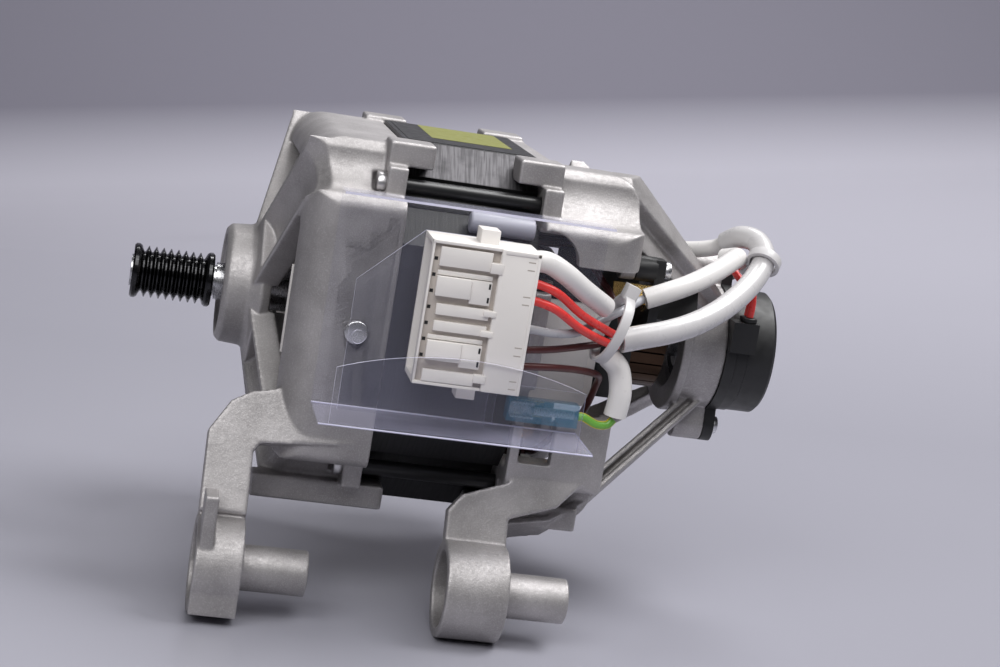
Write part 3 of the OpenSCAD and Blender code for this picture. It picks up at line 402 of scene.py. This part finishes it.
def lamination_stack():
    """Black varnish, ground bare on the upper chamfers where the sheets show as fine lines across."""
    black, pale, dark = (0.005, 0.005, 0.0055), (0.14, 0.135, 0.143), (0.08, 0.077, 0.082)
    sheet_mm, bare_from, bare_to = 0.65, 46.8, 56.3
    f = Finish("lamination_stack", 0.5)
    lines = f.noise(sheet_mm, detail=2, stretch=(1, 0.06, 0.06))
    scuffs = f.noise(4, detail=5)
    bare = f.mix(f.spread(lines, 0, 1, start=0.4, end=0.6), dark, pale)
    bare = f.mix(f.spread(scuffs, 0, 0.6, start=0.5, end=0.75), bare, shade(dark, 0.5))
    height = f.axis("Z")
    low = f.spread(height, 0, 1, start=(bare_from - 0.3) * MM, end=(bare_from + 0.3) * MM)
    high = f.spread(height, 1, 0, start=(bare_to - 0.1) * MM, end=(bare_to + 0.1) * MM)
    band = f.math("MULTIPLY", low, high)
    f.colour(f.mix(band, f.mix(scuffs, black, shade(black, 2.2)), bare))
    f.links.new(f.math("MULTIPLY", band, 0.85), f.shader.inputs["Metallic"])
    f.rough(f.spread(lines, 0.38, 0.55))
    f.bump(lines, 0.05)
    return f.material


def varnished_bolt():
    """Steel, black with varnish along the stack and bare at the head."""
    bare_to_mm = BELT_TO_STACK - 24
    f = Finish("varnished_bolt", 0.35)
    bare = f.spread(f.axis("X"), 1, 0, start=(bare_to_mm - 0.5) * MM, end=(bare_to_mm + 0.5) * MM)
    f.colour(f.mix(bare, (0.008, 0.008, 0.009), (0.62, 0.61, 0.62)))
    f.links.new(bare, f.shader.inputs["Metallic"])
    f.bump(f.noise(0.6), 0.02)
    return f.material


def wound_copper():
    """Varnished wire: fine turns under an uneven varnish; the near-black colour is partly the dark varnish
    and partly painted shade for the shadowed inside of the motor.
    """
    f = Finish("wound_copper", 0.35, metallic=0.5)
    turns = f.noise(0.7, detail=1, stretch=(0.15, 1, 1))
    # Near-black colour: dark varnish and painted shade inside the motor
    f.colour(f.mix(f.spread(turns, 0, 1), (0.010, 0.007, 0.006), (0.050, 0.024, 0.014)))
    f.rough(f.spread(f.noise(2), 0.25, 0.5))
    f.bump(turns, 0.15)
    return f.set(Coat_Weight=0.4).material


def clear_film(name, colour, alpha, rough):
    """Clear plastic film, with light scratches in its gloss."""
    f = Finish(name, rough)
    f.colour(f.mix(f.noise(14), shade(colour, 0.93), shade(colour, 1.05)))
    scratches = f.noise(1.2, detail=3, stretch=(1, 1, 0.12))
    f.rough(f.spread(scratches, max(rough - 0.04, 0.02), rough + 0.08))
    f.bump(f.noise(22, detail=1), 0.1)
    return f.set(Alpha=alpha, IOR=1.5).material


WHITE = (0.57, 0.555, 0.56)
CREAM = (0.80, 0.765, 0.735)
BLACK = (0.012, 0.012, 0.013)
GREY_TUBE = (0.72, 0.70, 0.69)

MATERIALS = {
    "cast": cast_aluminium(),
    "stack": lamination_stack(),
    "copper_wire": wound_copper(),
    "commutator": turned_metal("commutator_copper", (0.06, 0.036, 0.024), 0.42),
    "resin": moulded("brown_resin", (0.035, 0.018, 0.012), 0.5),
    "sheets": turned_metal("rotor_sheets", (0.05, 0.05, 0.054), 0.5, stretch=(1, 0.1, 0.1)),
    "steel": turned_metal("turned_steel", (0.60, 0.60, 0.62), 0.3),
    "bearing": turned_metal("bearing_steel", (0.66, 0.66, 0.68), 0.18),
    "pulley": turned_metal("black_pulley", (0.018, 0.018, 0.02), 0.28, Coat_Weight=0.5),
    "black": moulded("black_plastic", BLACK, 0.45, vary=0.2),
    "cream": moulded("cream_plastic", CREAM, 0.5, vary=0.03, depth_mm=0.006),
    "film": clear_film("clear_film", (0.46, 0.46, 0.60), 0.05, 0.10),
    # Paler, denser film for level faces and pale film for cut edges: painted reflection and painted
    # highlight
    "film_fold_sheen": clear_film("film_fold_sheen", (0.66, 0.65, 0.86), 0.2, 0.08),
    "film_edge_highlight": clear_film("film_edge_highlight", (0.80, 0.79, 0.98), 0.85, 0.2),
    "magnet": moulded("sintered_magnet", (0.05, 0.05, 0.055), 0.55, vary=0.25),
    "carbon": moulded("carbon", (0.03, 0.03, 0.032), 0.6, vary=0.3),
    "brass": turned_metal("bright_brass", (0.80, 0.55, 0.20), 0.22),
    "white": moulded("white_plastic", WHITE, 0.35, vary=0.03),
    "white_tube": moulded("white_tube", WHITE, 0.3, vary=0.03, depth_mm=0.006, Coat_Weight=0.2),
    "grey_tube": moulded("grey_tube", GREY_TUBE, 0.32, vary=0.05, Subsurface_Weight=0.15,
                         Subsurface_Radius=(0.002, 0.002, 0.002)),
    "red": moulded("red_wire", (0.74, 0.05, 0.045), 0.3, depth_mm=0.006),
    "grey": moulded("grey_wire", (0.42, 0.42, 0.45), 0.32, depth_mm=0.006),
    "maroon": moulded("maroon_wire", (0.085, 0.022, 0.022), 0.35, depth_mm=0.006),
    "green": moulded("green_wire", (0.16, 0.42, 0.06), 0.32, depth_mm=0.006),
    "yellow": moulded("yellow_wire", (0.72, 0.62, 0.05), 0.32, depth_mm=0.006),
    "blue": clear_film("blue_cover", (0.02, 0.20, 0.33), 0.45, 0.1),
    "bolt": varnished_bolt(),
    "lilac": moulded("lilac_tube", (0.40, 0.40, 0.47), 0.4, vary=0.12),
    # Darker cream: painted shade on the floor between the connector's bars
    "cream_painted_shade": moulded("cream_painted_shade", (0.50, 0.45, 0.41), 0.6, vary=0.05),
    "tick": moulded("tick_shadow", (0.42, 0.37, 0.33), 0.6, vary=0.05),
    "label": moulded("label_sheet", (0.012, 0.012, 0.013), 0.5, vary=0.1, depth_mm=0.003),
    "label_patch": moulded("label_patch", (0.22, 0.225, 0.05), 0.5, vary=0.06, depth_mm=0.003),
}

# The material of each CAD node by its slot in the record
SLOT_MATERIALS = {
    "cast_aluminium": "cast", "black_lamination": "stack", "enamelled_copper": "copper_wire",
    "commutator_copper": "commutator", "moulding": "resin", "lamination_steel": "sheets", "steel": "steel",
    "bearing_steel": "bearing", "black_pulley": "pulley", "black_plastic": "black",
    "cream_plastic": "cream", "clear_film": "film", "magnet": "magnet", "carbon": "carbon",
    "brass": "brass", "white_plastic": "white", "white_tube": "white_tube", "grey_tube": "grey_tube",
    "red_wire": "red", "grey_wire": "grey", "dark_wire": "maroon", "green_wire": "green",
    "blue_cover": "blue",
}
# Nodes that differ from the rest of their slot
NODE_MATERIALS = {"tie_bolts": "bolt", "thermal_protector": "lilac"}


def material_of(node):
    """The material of a CAD node, by its name or else by its slot."""
    return MATERIALS[NODE_MATERIALS.get(node, SLOT_MATERIALS[slot_of(node)])]


def dress_nodes():
    """Gives every CAD node its material."""
    for name, node in frame["nodes"].items():
        node.data.materials.clear()
        node.data.materials.append(material_of(name))


dress_nodes()


# Leads and sleeves
def make_leads():
    """Every lead and sleeve along its route, in place of its CAD node."""
    solid = {
        "red_leads": (RED_ROUTES, LEAD_D),
        "grey_lead": ([GREY_ROUTE], LEAD_D),
        "stator_leads": (STATOR_ROUTES, STATOR_LEAD_D),
        "tacho_leads": (TACHO_ROUTES, TACHO_LEAD_D),
    }
    sleeves = {
        "connector_sleeve": (CONNECTOR_SLEEVE_ROUTE, GREY_SLEEVE_D),
        "white_sleeve": (WHITE_ROUTE, WHITE_SLEEVE_D),
        "brush_sleeve": (BRUSH_SLEEVE_ROUTE, GREY_SLEEVE_D),
        "far_sleeve": (FAR_ROUTE, FAR_SLEEVE_D),
        "drop_sleeve": (DROP_ROUTE, DROP_SLEEVE_D),
    }
    for node, (routes, diameter) in solid.items():
        mesh = bmesh.new()
        for route in routes:
            add_tube(mesh, route, diameter)
        stand_for(new_piece(node + "_wire", mesh, material_of(node)), node)
    for node, (route, diameter) in sleeves.items():
        mesh = bmesh.new()
        add_tube(mesh, route, diameter, wall=SLEEVE_WALL, sides=32)
        stand_for(new_piece(node + "_tube", mesh, material_of(node)), node)
    make_earth_lead()


def make_earth_lead():
    """Green lead with a yellow stripe along each side."""
    mesh = bmesh.new()
    for face, around in add_tube(mesh, EARTH_ROUTE, LEAD_D):
        face.material_index = 1 if around % 0.5 < 0.2 else 0
    materials = [MATERIALS["green"], MATERIALS["yellow"]]
    stand_for(new_piece("earth_lead_wire", mesh, materials), "earth_lead")


make_leads()


# Castings: the CAD solid with its edges blended as in a mould
CAST_VOXEL_MM = 0.55
CAST_ROUNDS = 6
CAST_KEEP = 0.35


def make_casting(node):
    """A fine skin that clings to the CAD solid, then is softened and thinned out."""
    source = frame["nodes"][node]
    piece = bpy.data.objects.new(node + "_casting", source.data.copy())
    bpy.context.scene.collection.objects.link(piece)
    remesh = piece.modifiers.new("skin", "REMESH")
    remesh.mode = "VOXEL"
    remesh.voxel_size = CAST_VOXEL_MM * MM
    cling = piece.modifiers.new("cling", "SHRINKWRAP")
    cling.target = source
    cling.wrap_method = "NEAREST_SURFACEPOINT"
    soften = piece.modifiers.new("soften", "SMOOTH")
    soften.factor = 0.5
    soften.iterations = CAST_ROUNDS
    thin = piece.modifiers.new("thin", "DECIMATE")
    thin.ratio = CAST_KEEP
    apply_modifiers(piece)
    piece.data.shade_smooth()
    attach(piece, STATIC)
    return stand_for(piece, node)


def apply_modifiers(piece):
    """Gives a piece the mesh that its modifiers make."""
    graph = bpy.context.evaluated_depsgraph_get()
    data = bpy.data.meshes.new_from_object(piece.evaluated_get(graph))
    piece.modifiers.clear()
    piece.data = data


for bracket in ("front_bracket", "rear_bracket"):
    make_casting(bracket)


# Brush springs, as copies of the CAD springs
def make_springs():
    """A copy of each spring, carried by the frame, in place of the CAD spring."""
    for node, joint in (("brush_spring_near", "near_brush_slide"), ("brush_spring_far", "far_brush_slide")):
        source = frame["nodes"][node]
        piece = bpy.data.objects.new(node + "_coil", source.data.copy())
        bpy.context.scene.collection.objects.link(piece)
        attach(piece, STATIC)
        stand_for(piece, node)
        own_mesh(piece)


make_springs()


# Moulded and machined pieces: the CAD solid with its sharp edges broken
MERGE_MM = 0.002
FLAT_ANGLE = math.radians(1)
BEVEL_ANGLE = math.radians(35)
SHARP_ANGLE = math.radians(45)
# Front of the connector's housing, in mm from the middle of the stack
CONNECTOR_TOP, CONNECTOR_LEFT, CONNECTOR_SPLIT, CONNECTOR_FACE = 35.0, -15.95, 4.05, -86.0
# Depth of the plain floor behind the bars on the housing
HOUSING_FLOOR = 1.15
BROKEN_EDGES_MM = {
    "connector_housing": 0.35, "connector_cover": 0.4, "brush_holder_near": 0.4, "brush_holder_far": 0.4,
    "bundle_tie": 0.25, "loop_tie": 0.25, "earth_terminal": 0.6, "tacho_screws": 0.4, "holder_screws": 0.4,
    "sheet_screw": 0.5, "thermal_protector": 0.8, "tie_bolts": 0.3, "tacho_grommet": 0.3,
}


def copied_mesh(node):
    """A bmesh of a CAD node with its corners joined."""
    mesh = bmesh.new()
    mesh.from_mesh(frame["nodes"][node].data)
    bmesh.ops.remove_doubles(mesh, verts=mesh.verts, dist=MERGE_MM * MM)
    return mesh


def join_flats(mesh):
    """Joins the triangles that lie in one plane."""
    bmesh.ops.dissolve_limit(mesh, angle_limit=FLAT_ANGLE, verts=mesh.verts, edges=mesh.edges)


def shave_front(mesh, y_mm):
    """Cuts a mesh flat at a plane in Y and keeps what lies behind it."""
    geom = mesh.verts[:] + mesh.edges[:] + mesh.faces[:]
    plane = (0, y_mm * MM, 0)
    bmesh.ops.bisect_plane(mesh, geom=geom, plane_co=plane, plane_no=(0, -1, 0), clear_outer=True)
    bmesh.ops.holes_fill(mesh, edges=[edge for edge in mesh.edges if edge.is_boundary])


def make_broken_edges(node, width_mm):
    """The CAD solid with narrow bevels; the connector's housing also loses its front for the relief."""
    mesh = copied_mesh(node)
    if node == "connector_housing":
        shave_front(mesh, CONNECTOR_FACE + HOUSING_FLOOR)
    join_flats(mesh)
    body = frame["nodes"][node]["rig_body"]
    piece = new_piece(node + "_finish", mesh, material_of(node), body=body)
    bevel = piece.modifiers.new("edges", "BEVEL")
    bevel.width = width_mm * MM
    bevel.segments = 2
    bevel.limit_method = "ANGLE"
    bevel.angle_limit = BEVEL_ANGLE
    apply_modifiers(piece)
    piece.data.shade_smooth()
    piece.data.set_sharp_from_angle(angle=SHARP_ANGLE)
    # The floor between the housing's bars gets painted shade
    if node == "connector_housing":
        paint_shade_on_floor(piece.data, CONNECTOR_FACE + HOUSING_FLOOR)
    return stand_for(piece, node)


def paint_shade_on_floor(data, y_mm):
    """Paints shade on the floor between the bars: a darker, duller cream."""
    data.materials.append(MATERIALS["cream_painted_shade"])
    for face in data.polygons:
        if face.normal.y < -0.9 and abs(face.center.y - y_mm * MM) < 0.05 * MM:
            face.material_index = 1


for moulding, edge in BROKEN_EDGES_MM.items():
    make_broken_edges(moulding, edge)


# Relief on the connector, the label and small parts, in mm from the middle of the stack

# Bars on the housing: drop from the top to start and end, left and right, rise over the face
BARS = [
    (0, 0.9, 0, 20, 0.2), (41.1, 42, 0, 20, 0.2), (0, 42, 0, 0.7, 0),
    (1.7, 7.2, 2.5, 17.6, 0.3), (8.5, 9.9, 2.5, 18.6, -0.4),
    (10.1, 15.8, 2.5, 12.6, 1.0), (10.1, 17, 12.6, 18.6, 0.3),
    (18.1, 21.3, 3.6, 19, 0.2), (23.1, 26, 3.6, 19, 0.2),
    (27.3, 28.6, 2.5, 18.6, -0.4), (28.8, 34.5, 2.5, 12.6, 1.0), (28.8, 35.8, 12.6, 18.6, 0.3),
    (37.4, 40.9, 2.5, 17.6, 0.3),
    (4.4, 7.4, 17.3, 20.9, 1.2), (18.3, 20, 17.3, 20.9, 1.2),
    (24.2, 25.9, 17.3, 20.9, 1.2), (37.2, 39.6, 17.3, 20.9, 1.2),
]
# Middles of the slots and pin holes, drawn as black boxes of painted shade, and of the ticks, drawn as
# painted shadow, as drops from the top
SLOT_DROPS = (11.4, 15.4, 30.3, 34.3)
PIN_DROPS = (5.4, 10.1, 14.8, 19.5, 24.2, 28.9, 33.6)
TICK_DROPS = (2.8, 5.1, 12.9, 15.2, 27.9, 30.3, 37.9, 40.2)
# Reach of slots and pin holes from the housing's left edge, and their half heights
SLOT_ACROSS, SLOT_HALF = (17.7, 18.3), 0.8
PIN_ACROSS, PIN_HALF = (1.1, 2.1), 0.5
# Front and right edge of the connector's cover plate, and the reach of its rim and ticks from that edge
COVER_FACE, COVER_RIGHT = CONNECTOR_FACE - 0.8, 15.55
RIM_ACROSS, RIM_DROP, TOP_RIM_DROP = (-1.1, -0.1), (0.2, 41.8), (0.2, 1.3)
TICK_ACROSS, TICK_HALF = (-3.6, -1.5), 0.16
# How far relief goes into the face that carries it
SINK = 0.2
STACK_TOP = 56.5
LABEL_SHEET = ((-19.4, -26.5, STACK_TOP), (19.8, 26.5, STACK_TOP + 0.12))
LABEL_FIELD = ((-10.4, -12.5, STACK_TOP + 0.1), (15.6, 26, STACK_TOP + 0.2))
INSULATOR_EDGE = ((-51, -46.5, -11), (-45, -44.5, 16))
# The receptacle's two rolled sides, its back and its crimped barrel
RECEPTACLE = [
    ((18.2, -65, -18), (25.5, -62.6, -17.3)), ((18.2, -65, -13.7), (25.5, -62.6, -13)),
    ((18.2, -62.8, -18), (25.5, -62.3, -13)), ((25.5, -65, -16.6), (38, -62.6, -14.4)),
]
# Black plate at the brush holder: partly the holder's plate, partly a dark sheet of painted shade inside
# the motor
HOLDER_PLATE_AND_SHADE_SHEET = [((46.5, -46, -12.5), (57, -43.5, 6.5)), ((31, -36.5, 6), (58, -34.5, 31))]


def add_box(mesh, low, high):
    """Adds a box to a bmesh from its low and high corners in mm."""
    corners = [mesh.verts.new(at_stack((x, y, z))) for x in (low[0], high[0]) for y in (low[1], high[1])
               for z in (low[2], high[2])]
    for face in ((0, 1, 3, 2), (4, 6, 7, 5), (0, 4, 5, 1), (2, 3, 7, 6), (0, 2, 6, 4), (1, 5, 7, 3)):
        mesh.faces.new([corners[i] for i in face])


def box_piece(name, boxes, material, edge_mm):
    """One piece of several boxes with their edges broken."""
    mesh = bmesh.new()
    for low, high in boxes:
        add_box(mesh, low, high)
    bmesh.ops.recalc_face_normals(mesh, faces=mesh.faces)
    if edge_mm:
        edges = mesh.edges[:]
        bmesh.ops.bevel(mesh, geom=edges, offset=edge_mm * MM, segments=2, affect="EDGES", profile=0.5)
    new_piece(name, mesh, material)


def dropped(across, depth, drop):
    """A box on the connector from its reach across, its front and back, and its drop from the top."""
    return (across[0], depth[0], CONNECTOR_TOP - drop[1]), (across[1], depth[1], CONNECTOR_TOP - drop[0])


def about(middles, half):
    """The stretches of a half-width about each middle."""
    return [(middle - half, middle + half) for middle in middles]


def moved(stretch, by):
    """A stretch moved along."""
    return stretch[0] + by, stretch[1] + by


def make_connector_relief():
    """Bars and cover rim on the front of the connector, black boxes of painted shade in its slots and pin
    holes, and ticks of painted shadow.
    """
    left, face, cover = CONNECTOR_LEFT, CONNECTOR_FACE, COVER_FACE
    floor = face + HOUSING_FLOOR
    bars = [dropped(moved((near, far), left), (face - rise, floor + SINK), (start, end))
            for start, end, near, far, rise in BARS]
    box_piece("connector_bars", bars, MATERIALS["cream"], 0.18)
    rim = moved(RIM_ACROSS, COVER_RIGHT)
    rim_depth = (cover - 0.25, cover + 2 * SINK)
    rims = [dropped(rim, rim_depth, RIM_DROP),
            dropped((CONNECTOR_SPLIT + 1, rim[1]), rim_depth, TOP_RIM_DROP)]
    box_piece("connector_rim", rims, MATERIALS["cream"], 0.12)
    # Slots and pin holes: black boxes flush with the face, painted shade of the openings
    slots = [dropped(moved(SLOT_ACROSS, left), (face - 0.34, face), drop)
             for drop in about(SLOT_DROPS, SLOT_HALF)]
    pin_hole_shade = [dropped(moved(PIN_ACROSS, left), (floor - 0.05, floor + SINK), drop)
            for drop in about(PIN_DROPS, PIN_HALF)]
    box_piece("connector_slot_and_pin_shade", slots + pin_hole_shade, MATERIALS["black"], 0)
    # Ticks: darker marks of painted shadow
    ticks = [dropped(moved(TICK_ACROSS, COVER_RIGHT), (cover - 0.03, cover + SINK), drop)
             for drop in about(TICK_DROPS, TICK_HALF)]
    box_piece("connector_ticks", ticks, MATERIALS["tick"], 0)


def make_label():
    """Plain sheet on the top of the stack where the rating label sits, with a bare coloured field."""
    box_piece("label_sheet", [LABEL_SHEET], MATERIALS["label"], 0)
    box_piece("label_field", [LABEL_FIELD], MATERIALS["label_patch"], 0)


def make_small_parts():
    """Receptacle in the blue cover, edge of the cream insulator, and a black plate at the brush holder,
    partly the holder's own plate and partly a dark sheet of painted shade inside the motor.
    """
    box_piece("earth_receptacle", RECEPTACLE, MATERIALS["steel"], 0.1)
    box_piece("insulator_edge", [INSULATOR_EDGE], MATERIALS["cream"], 0.2)
    box_piece("brush_holder_plate_and_shade_sheet", HOLDER_PLATE_AND_SHADE_SHEET, MATERIALS["black"], 0.4)


# End turns of the upper field coil, in mm: layers upwards and turns outwards, a pitch apart
COIL_LAYERS, COIL_TURNS, COIL_PITCH, COIL_WIRE_D = 4, 5, 3.1, 3.3
COIL_ROOT, COIL_REACH, COIL_HALF, COIL_LOW = 22, 28, 20, 31.8
COIL_CORNER = 5


def make_coil_ends():
    """Loops of wire where the upper field coil turns back behind the stack; the outer loops reach past the
    coil's own end turns, dark wire as painted shade inside the rear bracket.
    """
    mesh = bmesh.new()
    for layer in range(COIL_LAYERS):
        z = COIL_LOW + COIL_PITCH * layer
        for turn in range(COIL_TURNS):
            out, half = COIL_REACH + COIL_PITCH * turn, COIL_HALF + COIL_PITCH * turn
            inset = 0.3 * COIL_CORNER
            bend = [(COIL_ROOT, half), (out - COIL_CORNER, half), (out - inset, half - inset),
                    (out, half - COIL_CORNER)]
            one_side = [(x, -y, z) for x, y in bend]
            other_side = [(x, y, z) for x, y in reversed(bend)]
            add_tube(mesh, one_side + [(out, 0, z)] + other_side, COIL_WIRE_D, sides=12, steps=4)
    # Outer loops past the coil's own end turns: dark wire as painted shade inside the rear bracket
    new_piece("coil_ends_rear_and_shade", mesh, MATERIALS["copper_wire"])


make_connector_relief()
make_label()
make_small_parts()
make_coil_ends()


# Clear film: its level faces paler and denser as painted reflection, its cut edges pale and almost opaque
# as painted highlight, and pale lines along the folds of the shelf as painted highlights
FILM_EDGE_MM = 1.2
FOLD_LEFT, FOLD_RIGHT, FOLD_HEIGHT = -41, 40, -21.7
FOLD_DEPTHS = (-60.9, -87.7)
FOLD_D = 0.5


def make_film():
    """The film by faces: upright ones clearest, level ones paler and denser as painted reflection, cut
    edges pale and almost opaque as painted highlight.
    """
    mesh = copied_mesh("insulation_sheet")
    join_flats(mesh)
    for face in mesh.faces:
        narrowest = min(edge.calc_length() for edge in face.edges)
        if narrowest < FILM_EDGE_MM * MM and len(face.edges) == 4:
            face.material_index = 2
        elif abs(face.normal.z) > 0.7:
            face.material_index = 1
    materials = [MATERIALS["film"], MATERIALS["film_fold_sheen"], MATERIALS["film_edge_highlight"]]
    stand_for(new_piece("insulation_film", mesh, materials), "insulation_sheet")
    # Thin pale tubes along the two folds of the shelf: painted highlights
    creases = bmesh.new()
    for y in FOLD_DEPTHS:
        fold = [(FOLD_LEFT, y, FOLD_HEIGHT), (FOLD_RIGHT, y, FOLD_HEIGHT)]
        add_tube(creases, fold, FOLD_D, sides=8, steps=2)
    new_piece("film_crease_highlights", creases, MATERIALS["film_edge_highlight"])


make_film()


# Stage: a floor that bends up into a wall, in metres
STAGE_FRONT, STAGE_BACK, STAGE_HALF, STAGE_RISE, STAGE_BEND = -3.0, 1.2, 4.0, 2.5, 0.8
# Where the floor starts to turn with the camera's roll, and the place across that it turns about
TURN_START, TURN_PIVOT = 0.3, 0.35
FLOOR_COLOUR = (0.335, 0.332, 0.38)
# Paler band towards the back and darker wall above the bend: painted light and painted shade
FAR_PAINTED_LIGHT_COLOUR = (0.55, 0.54, 0.61)
WALL_PAINTED_SHADE_COLOUR = (0.22, 0.212, 0.258)


def stage_profile(flat=24, turns=24):
    """The floor's section from front to back, as (y, height)."""
    length = STAGE_BACK - STAGE_FRONT
    profile = [(STAGE_FRONT + length * i / flat, 0) for i in range(flat)]
    for i in range(turns + 1):
        a = math.pi / 2 * i / turns
        profile.append((STAGE_BACK + STAGE_BEND * math.sin(a), STAGE_BEND * (1 - math.cos(a))))
    return profile + [(STAGE_BACK + STAGE_BEND, STAGE_RISE)]


def stage_finish(lowest, slope):
    """Satin grey, paler towards the back as a painted band of light, and dark above the bend as painted
    shade.
    """
    f = Finish("floor", 0.30)
    near = f.mix(f.noise(400, detail=2), shade(FLOOR_COLOUR, 0.97), shade(FLOOR_COLOUR, 1.03))
    far = f.mix(f.spread(f.axis("Y"), 0, 1, start=TURN_START, end=STAGE_BACK), near, FAR_PAINTED_LIGHT_COLOUR)
    height = f.math("SUBTRACT", f.axis("Z"), f.math("MULTIPLY", f.axis("X"), slope))
    base = lowest - TURN_PIVOT * slope
    raised = f.spread(height, 0, 1, start=base + 0.004, end=base + 0.055)
    behind = f.spread(f.axis("Y"), 0, 1, start=STAGE_BACK - 0.1, end=STAGE_BACK)
    f.colour(f.mix(f.math("MULTIPLY", raised, behind), far, WALL_PAINTED_SHADE_COLOUR))
    return f.set(Specular_IOR_Level=0.45).material


def make_stage(columns=32):
    """Floor rising into a wall; its far part is turned to lie level in the picture."""
    lowest = cad_box[0][2]
    slope = math.tan(CAMERA_ROLL)
    mesh = bmesh.new()
    rows = []
    for c in range(columns + 1):
        x = STAGE_HALF * (2 * c / columns - 1)
        row = []
        for y, z in stage_profile():
            turned = min(max((y - TURN_START) / (STAGE_BACK - TURN_START), 0), 1)
            lift = (x - TURN_PIVOT) * slope * turned * turned * (3 - 2 * turned)
            row.append(mesh.verts.new((x, y, z + lowest + lift)))
        rows.append(row)
    for low, high in zip(rows, rows[1:]):
        for i in range(len(low) - 1):
            mesh.faces.new((low[i], high[i], high[i + 1], low[i + 1]))
    data = bpy.data.meshes.new("floor")
    mesh.to_mesh(data)
    mesh.free()
    data.shade_smooth()
    data.materials.append(stage_finish(lowest, slope))
    floor = bpy.data.objects.new("floor", data)
    bpy.context.scene.collection.objects.link(floor)


def add_lamp(name, place, target, size, power):
    """A round soft lamp, in metres and watts, aimed at a target."""
    data = bpy.data.lights.new(name, "AREA")
    data.shape = "DISK"
    data.size = size
    data.energy = power
    lamp = bpy.data.objects.new(name, data)
    lamp.location = place
    lamp.rotation_euler = (Vector(target) - Vector(place)).to_track_quat("-Z", "Y").to_euler()
    bpy.context.scene.collection.objects.link(lamp)


def make_lights():
    """Lamps as the shadows in the photograph tell: the key from the right, softer ones from the front."""
    middle = at_stack((0, 0, 0))
    add_lamp("key", (0.75, 0.0, 1.15), middle, 0.7, 14)
    add_lamp("fill", (-0.7, -1.0, 1.0), middle, 0.7, 7)
    add_lamp("front", (0.3, -0.7, 1.4), (0.1, -0.3, -0.1), 0.8, 6.5)
    add_lamp("room", (-0.1, -1.1, 1.1), middle, 0.8, 6)
    add_lamp("backdrop", (0.4, 0.8, 1.4), (0.4, 1.75, -0.1), 0.8, 18)
    world = bpy.data.worlds.new("studio")
    world.use_nodes = True
    background = world.node_tree.nodes["Background"]
    background.inputs["Color"].default_value = (0.86, 0.86, 0.92, 1)
    background.inputs["Strength"].default_value = 0.09
    bpy.context.scene.world = world
    bpy.context.scene.view_settings.view_transform = "Standard"


make_stage()
make_lights()

bpy.context.view_layer.update()
